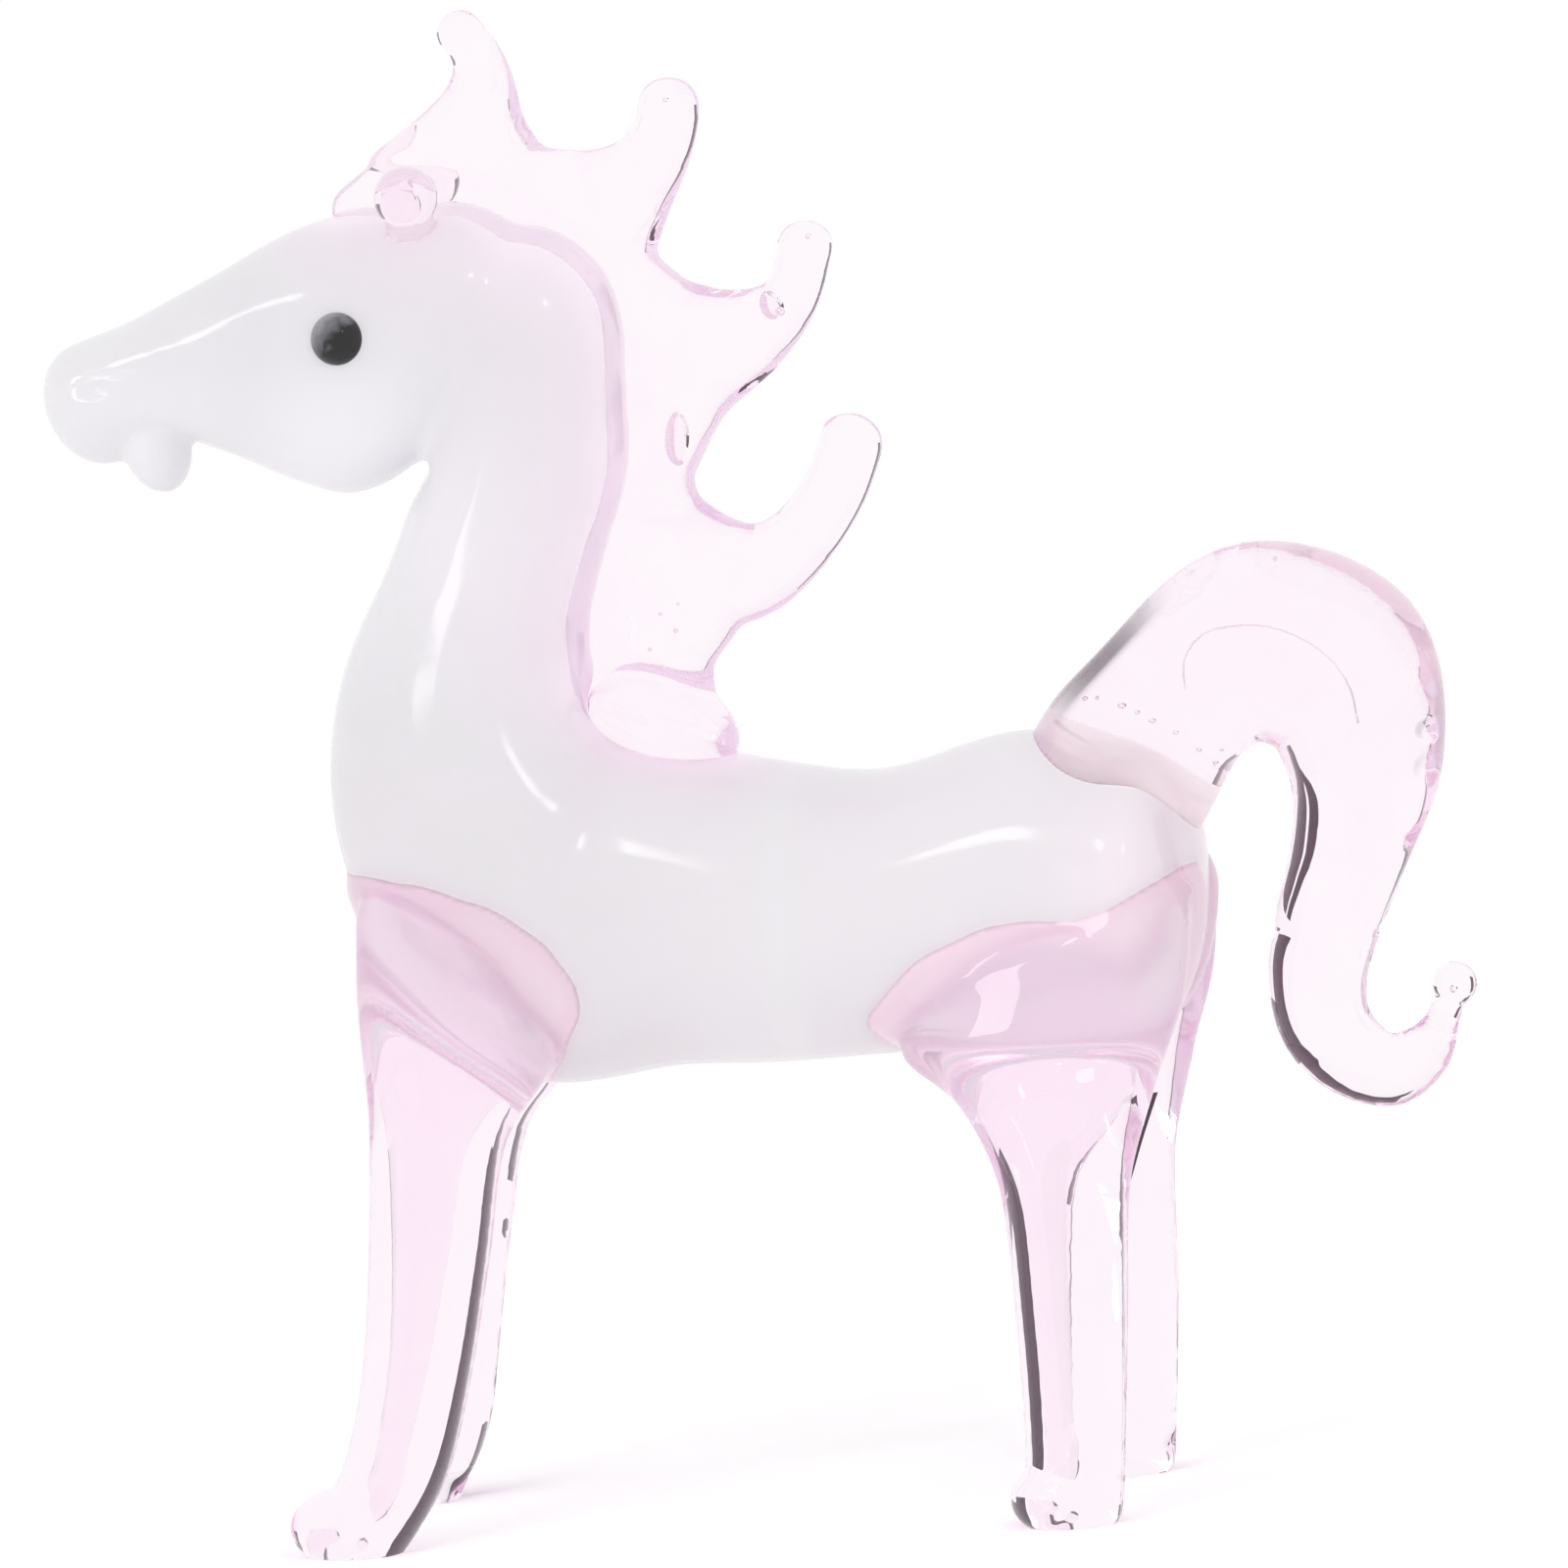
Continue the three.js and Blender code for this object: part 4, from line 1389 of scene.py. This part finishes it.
@dataclass(frozen=True)
class Gobo:
    """A scrap of white paper, mm, that hangs between a spot of the opal and a lamp.

    The azimuth and the elevation, in degrees, are those of the lamp.
    """

    name: str
    spot: tuple[float, float, float]
    azimuth: float
    elevation: float
    wide: float
    tall: float
    gap: float


@dataclass(frozen=True)
class Card:
    """A dark card that is seen only through the glass, mm: a lower corner and two edges from it."""

    name: str
    corner: tuple[float, float, float]
    along: tuple[float, float, float]
    up: tuple[float, float, float]


@dataclass
class Studio:
    """White table-top studio: camera, even light, paper floor, softboxes, gobos and dark cards.

    Its distances and radii are in metres, and the sensor is in millimetres.
    """

    target: Vector = field(default_factory=lambda: Vector((1.1, 0.0, 33.3)) * MM)
    azimuth: float = 11.0
    elevation: float = 5.5
    roll: float = 4.2
    distance: float = 0.510
    near_clip: float = 0.01
    mm_per_pixel: float = 0.0445
    frame_pixels: int = 1600
    sensor: float = 36.0
    sky: float = 1.05
    floor_radius: float = 0.4
    floor_sides: int = 96
    radiance: float = 5.0
    lamp_distance: float = 0.6
    diffuse_bounces: int = 8
    glossy_bounces: int = 16
    glass_bounces: int = 32
    softboxes: tuple[Softbox, ...] = (
        Softbox("key softbox", azimuth=-12.0, elevation=39.0, wide=3.6, tall=8.5),
        Softbox("neck softbox", azimuth=-31.0, elevation=15.2, wide=18.0, tall=13.0, dim=0.75),
        Softbox("head softbox", azimuth=-51.5, elevation=34.2, wide=5.0, tall=9.0),
        Softbox("chest softbox", azimuth=32.0, elevation=33.5, wide=4.5, tall=4.5),
    )
    gobos: tuple[Gobo, ...] = (
        Gobo("brow gobo", (-15.0, -4.0, 57.5), -12.0, 39.0, wide=22.0, tall=24.0, gap=50.0),
        Gobo("eye gobo", (-15.5, -4.3, 57.8), -31.0, 14.7, wide=26.0, tall=15.0, gap=25.0),
        Gobo("chest gobo", (-14.5, -5.5, 33.3), -33.0, 15.2, wide=26.0, tall=14.0, gap=30.0),
    )
    # Flags stand close behind the glass and draw its broad dark lines, wings far out draw the thin ones
    cards: tuple[Card, ...] = (
        Card("foreleg flag", (-40.0, 2.0, 0.0), along=(15.2, 0.0, 0.0), up=(3.6, 0.0, 20.0)),
        Card("hind leg flag", (15.4, 3.0, 0.0), along=(3.7, 0.0, 0.0), up=(-0.5, 0.0, 18.0)),
        Card("tail flag, inner", (26.0, 5.0, 24.9), along=(0.45, 0.0, 0.0), up=(1.9, 0.0, 10.0)),
        Card("tail flag, outer", (26.65, 5.0, 24.9), along=(2.2, 0.0, 0.0), up=(1.9, 0.0, 10.0)),
        Card("tail flag, low", (25.5, 5.0, 20.7), along=(1.9, 0.0, 0.0), up=(0.1, 0.0, 3.5)),
        Card("left wing", (-300.0, -58.0, 16.0), along=(0.0, 224.0, 0.0), up=(0.0, 0.0, 240.0)),
        Card("right wing", (300.0, 26.0, 16.0), along=(0.0, 344.0, 0.0), up=(0.0, 0.0, 240.0)),
    )
    lit: bpy.types.Collection = field(default_factory=lambda: bpy.data.collections.new("lit pieces"))

    def way(self, azimuth: float, elevation: float) -> Vector:
        """The unit vector towards an azimuth and elevation, in degrees, azimuth 0 at the front."""
        a, e = math.radians(azimuth), math.radians(elevation)
        return Vector((math.sin(a) * math.cos(e), -math.cos(a) * math.cos(e), math.sin(e)))

    def camera(self) -> None:
        """Set the camera at the photograph's angle."""
        back = self.way(self.azimuth, self.elevation)
        a, roll = math.radians(self.azimuth), math.radians(self.roll)
        level = Vector((math.cos(a), math.sin(a), 0.0))
        rise = back.cross(level)
        right = math.cos(roll) * level - math.sin(roll) * rise
        up = math.sin(roll) * level + math.cos(roll) * rise
        data = bpy.data.cameras.new("camera")
        data.sensor_width = self.sensor
        data.lens = self.sensor * self.distance / (self.mm_per_pixel * MM * self.frame_pixels)
        data.clip_start = self.near_clip
        camera = bpy.data.objects.new("camera", data)
        place = Matrix((right, up, back)).transposed().to_4x4()
        camera.matrix_world = Matrix.Translation(self.target + back * self.distance) @ place
        bpy.context.scene.collection.objects.link(camera)
        bpy.context.scene.camera = camera

    def world(self) -> None:
        """Even white light, seen as plain white by the camera and through the glass."""
        world = bpy.data.worlds.new("white tent")
        world.use_nodes = True
        tree = world.node_tree
        tree.nodes.clear()
        path = add(tree, "ShaderNodeLightPath")
        seen = add(tree, "ShaderNodeMath", {
            0: path.outputs["Is Camera Ray"], 1: path.outputs["Is Transmission Ray"],
        }, operation="MAXIMUM")
        seen = add(tree, "ShaderNodeMath", {
            0: seen.outputs["Value"], 1: path.outputs["Is Glossy Ray"],
        }, operation="MAXIMUM")
        tent = add(tree, "ShaderNodeBackground", {"Color": linear(WHITE), "Strength": self.sky})
        white = add(tree, "ShaderNodeBackground", {"Color": linear(WHITE), "Strength": 1.0})
        mixed = add(tree, "ShaderNodeMixShader", {
            0: seen.outputs["Value"], 1: tent.outputs["Background"], 2: white.outputs["Background"],
        })
        out = tree.nodes.new("ShaderNodeOutputWorld")
        tree.links.new(mixed.outputs["Shader"], out.inputs["Surface"])
        bpy.context.scene.world = world

    def floor(self, paper: bpy.types.Material) -> None:
        """A round sheet of white paper."""
        bm = bmesh.new()
        bmesh.ops.create_circle(bm, cap_ends=True, segments=self.floor_sides, radius=self.floor_radius)
        floor = bpy.data.objects.new("floor", mesh_of(bm, "floor"))
        floor.data.materials.append(paper)
        bpy.context.scene.collection.objects.link(floor)
        self.aim(floor)

    def aim(self, piece: bpy.types.Object) -> None:
        """Let the softboxes shine on a piece."""
        self.lit.objects.link(piece)

    def light(self, box: Softbox) -> None:
        """Set up a lamp that faces the horse and shines only on the pieces that are given to aim().

        Args:
            box: The lamp.
        """
        data = bpy.data.lights.new(box.name, "AREA")
        data.shape = "RECTANGLE"
        data.size, data.size_y = (
            2 * self.lamp_distance * math.tan(math.radians(angle / 2)) for angle in (box.wide, box.tall)
        )
        data.energy = box.dim * self.radiance * math.pi * data.size * data.size_y
        lamp = bpy.data.objects.new(box.name, data)
        way = self.way(box.azimuth, box.elevation)
        turn = way.to_track_quat("Z", "Y").to_matrix().to_4x4()
        lamp.matrix_world = Matrix.Translation(self.target + way * self.lamp_distance) @ turn
        lamp.light_linking.receiver_collection = self.lit
        bpy.context.scene.collection.objects.link(lamp)

    def hang(self, gobo: Gobo, paper: bpy.types.Material) -> None:
        """Hang a scrap of paper in the way of a lamp.

        Args:
            gobo: The scrap.
            paper: What it is made of.
        """
        way = self.way(gobo.azimuth, gobo.elevation)
        turn = math.radians(gobo.azimuth)
        level = Vector((math.cos(turn), math.sin(turn), 0.0))
        along, up = level * gobo.wide, way.cross(level) * gobo.tall
        corner = Vector(gobo.spot) + way * gobo.gap - (along + up) / 2
        self.sheet(gobo.name, corner, along, up, paper).visible_diffuse = False

    def stand(self, card: Card, flock: bpy.types.Material) -> None:
        """Stand a card behind or beside the horse.

        Args:
            card: The card.
            flock: What it is made of.
        """
        sheet = self.sheet(card.name, Vector(card.corner), Vector(card.along), Vector(card.up), flock)
        sheet.visible_diffuse = False
        sheet.visible_glossy = False
        sheet.visible_shadow = False

    def sheet(
        self, name: str, corner: Vector, along: Vector, up: Vector, material: bpy.types.Material
    ) -> bpy.types.Object:
        """A flat sheet that the camera does not see.

        Args:
            name: The sheet's name.
            corner: One lower corner, mm.
            along: Its lower edge, mm.
            up: Its side edge, mm.
            material: What it is made of.

        Returns:
            The sheet.
        """
        bm = bmesh.new()
        place = Matrix((along / 2, up / 2, along.cross(up).normalized())).transposed().to_4x4()
        place.translation = corner + (along + up) / 2
        bmesh.ops.create_grid(bm, x_segments=1, y_segments=1, size=1.0, matrix=Matrix.Scale(MM, 4) @ place)
        sheet = bpy.data.objects.new(name, mesh_of(bm, name))
        sheet.data.materials.append(material)
        sheet.visible_camera = False
        bpy.context.scene.collection.objects.link(sheet)
        return sheet

    def build(self) -> None:
        """Set up everything but the horse."""
        scene = bpy.context.scene
        scene.view_settings.view_transform = "Standard"
        # Light passes many walls of clear glass, and its gloss stays sharp
        scene.cycles.diffuse_bounces = self.diffuse_bounces
        scene.cycles.glossy_bounces = self.glossy_bounces
        scene.cycles.transmission_bounces = self.glass_bounces
        scene.cycles.max_bounces = self.glass_bounces
        scene.cycles.blur_glossy = 0.0
        paper, flock = StudioPaper().make(), FlockCard().make()
        self.camera()
        self.world()
        self.floor(paper)
        for box in self.softboxes:
            self.light(box)
        for gobo in self.gobos:
            self.hang(gobo, paper)
        for card in self.cards:
            self.stand(card, flock)


def main() -> None:
    """Build the studio and then the horse, piece by piece."""
    logging.basicConfig(level=logging.INFO, format="%(name)s: %(message)s")
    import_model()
    studio = Studio()
    studio.build()
    body = OpalBody()
    pink, pale, black = PinkGlass().make(), PALE_PINK.make(), BlackGlass().make()
    mane = ManeComb(body)
    limbs: list[Leg | Ear] = [
        Leg(body, f"{name}_{side.name.lower()}", side, shape, body.point(station), width)
        for name, shape, station, width in (
            ("foreleg", FORE_SHAPE, body.shoulder, body.withers.width),
            ("hind_leg", HIND_SHAPE, body.croup, body.rump.width),
        )
        for side in Side
    ]
    limbs += [Ear(body, side) for side in Side]
    gathers = [mane, Tail(body), *limbs]
    meshes = [gather.build() for gather in gathers]
    mane_skin, tail_skin, *limb_skins = map(Skin, meshes)
    # The painted fill colours of the opal below legs and ears
    others = [(skin, limb.fill_below) for skin, limb in zip(limb_skins, limbs)]
    studio.aim(body.dress(body.build(), mane.skin(), mane_skin, tail_skin, others))
    for gather, mesh in zip(gathers, meshes):
        piece = gather.dress(mesh, pink if isinstance(gather, Leg) else pale)
        if isinstance(gather, Leg) and gather.shape.lit:
            studio.aim(piece)
    for side in Side:
        eye = Eye(body, side)
        studio.aim(eye.dress(eye.build(), black))


if __name__ == "__main__":
    main()
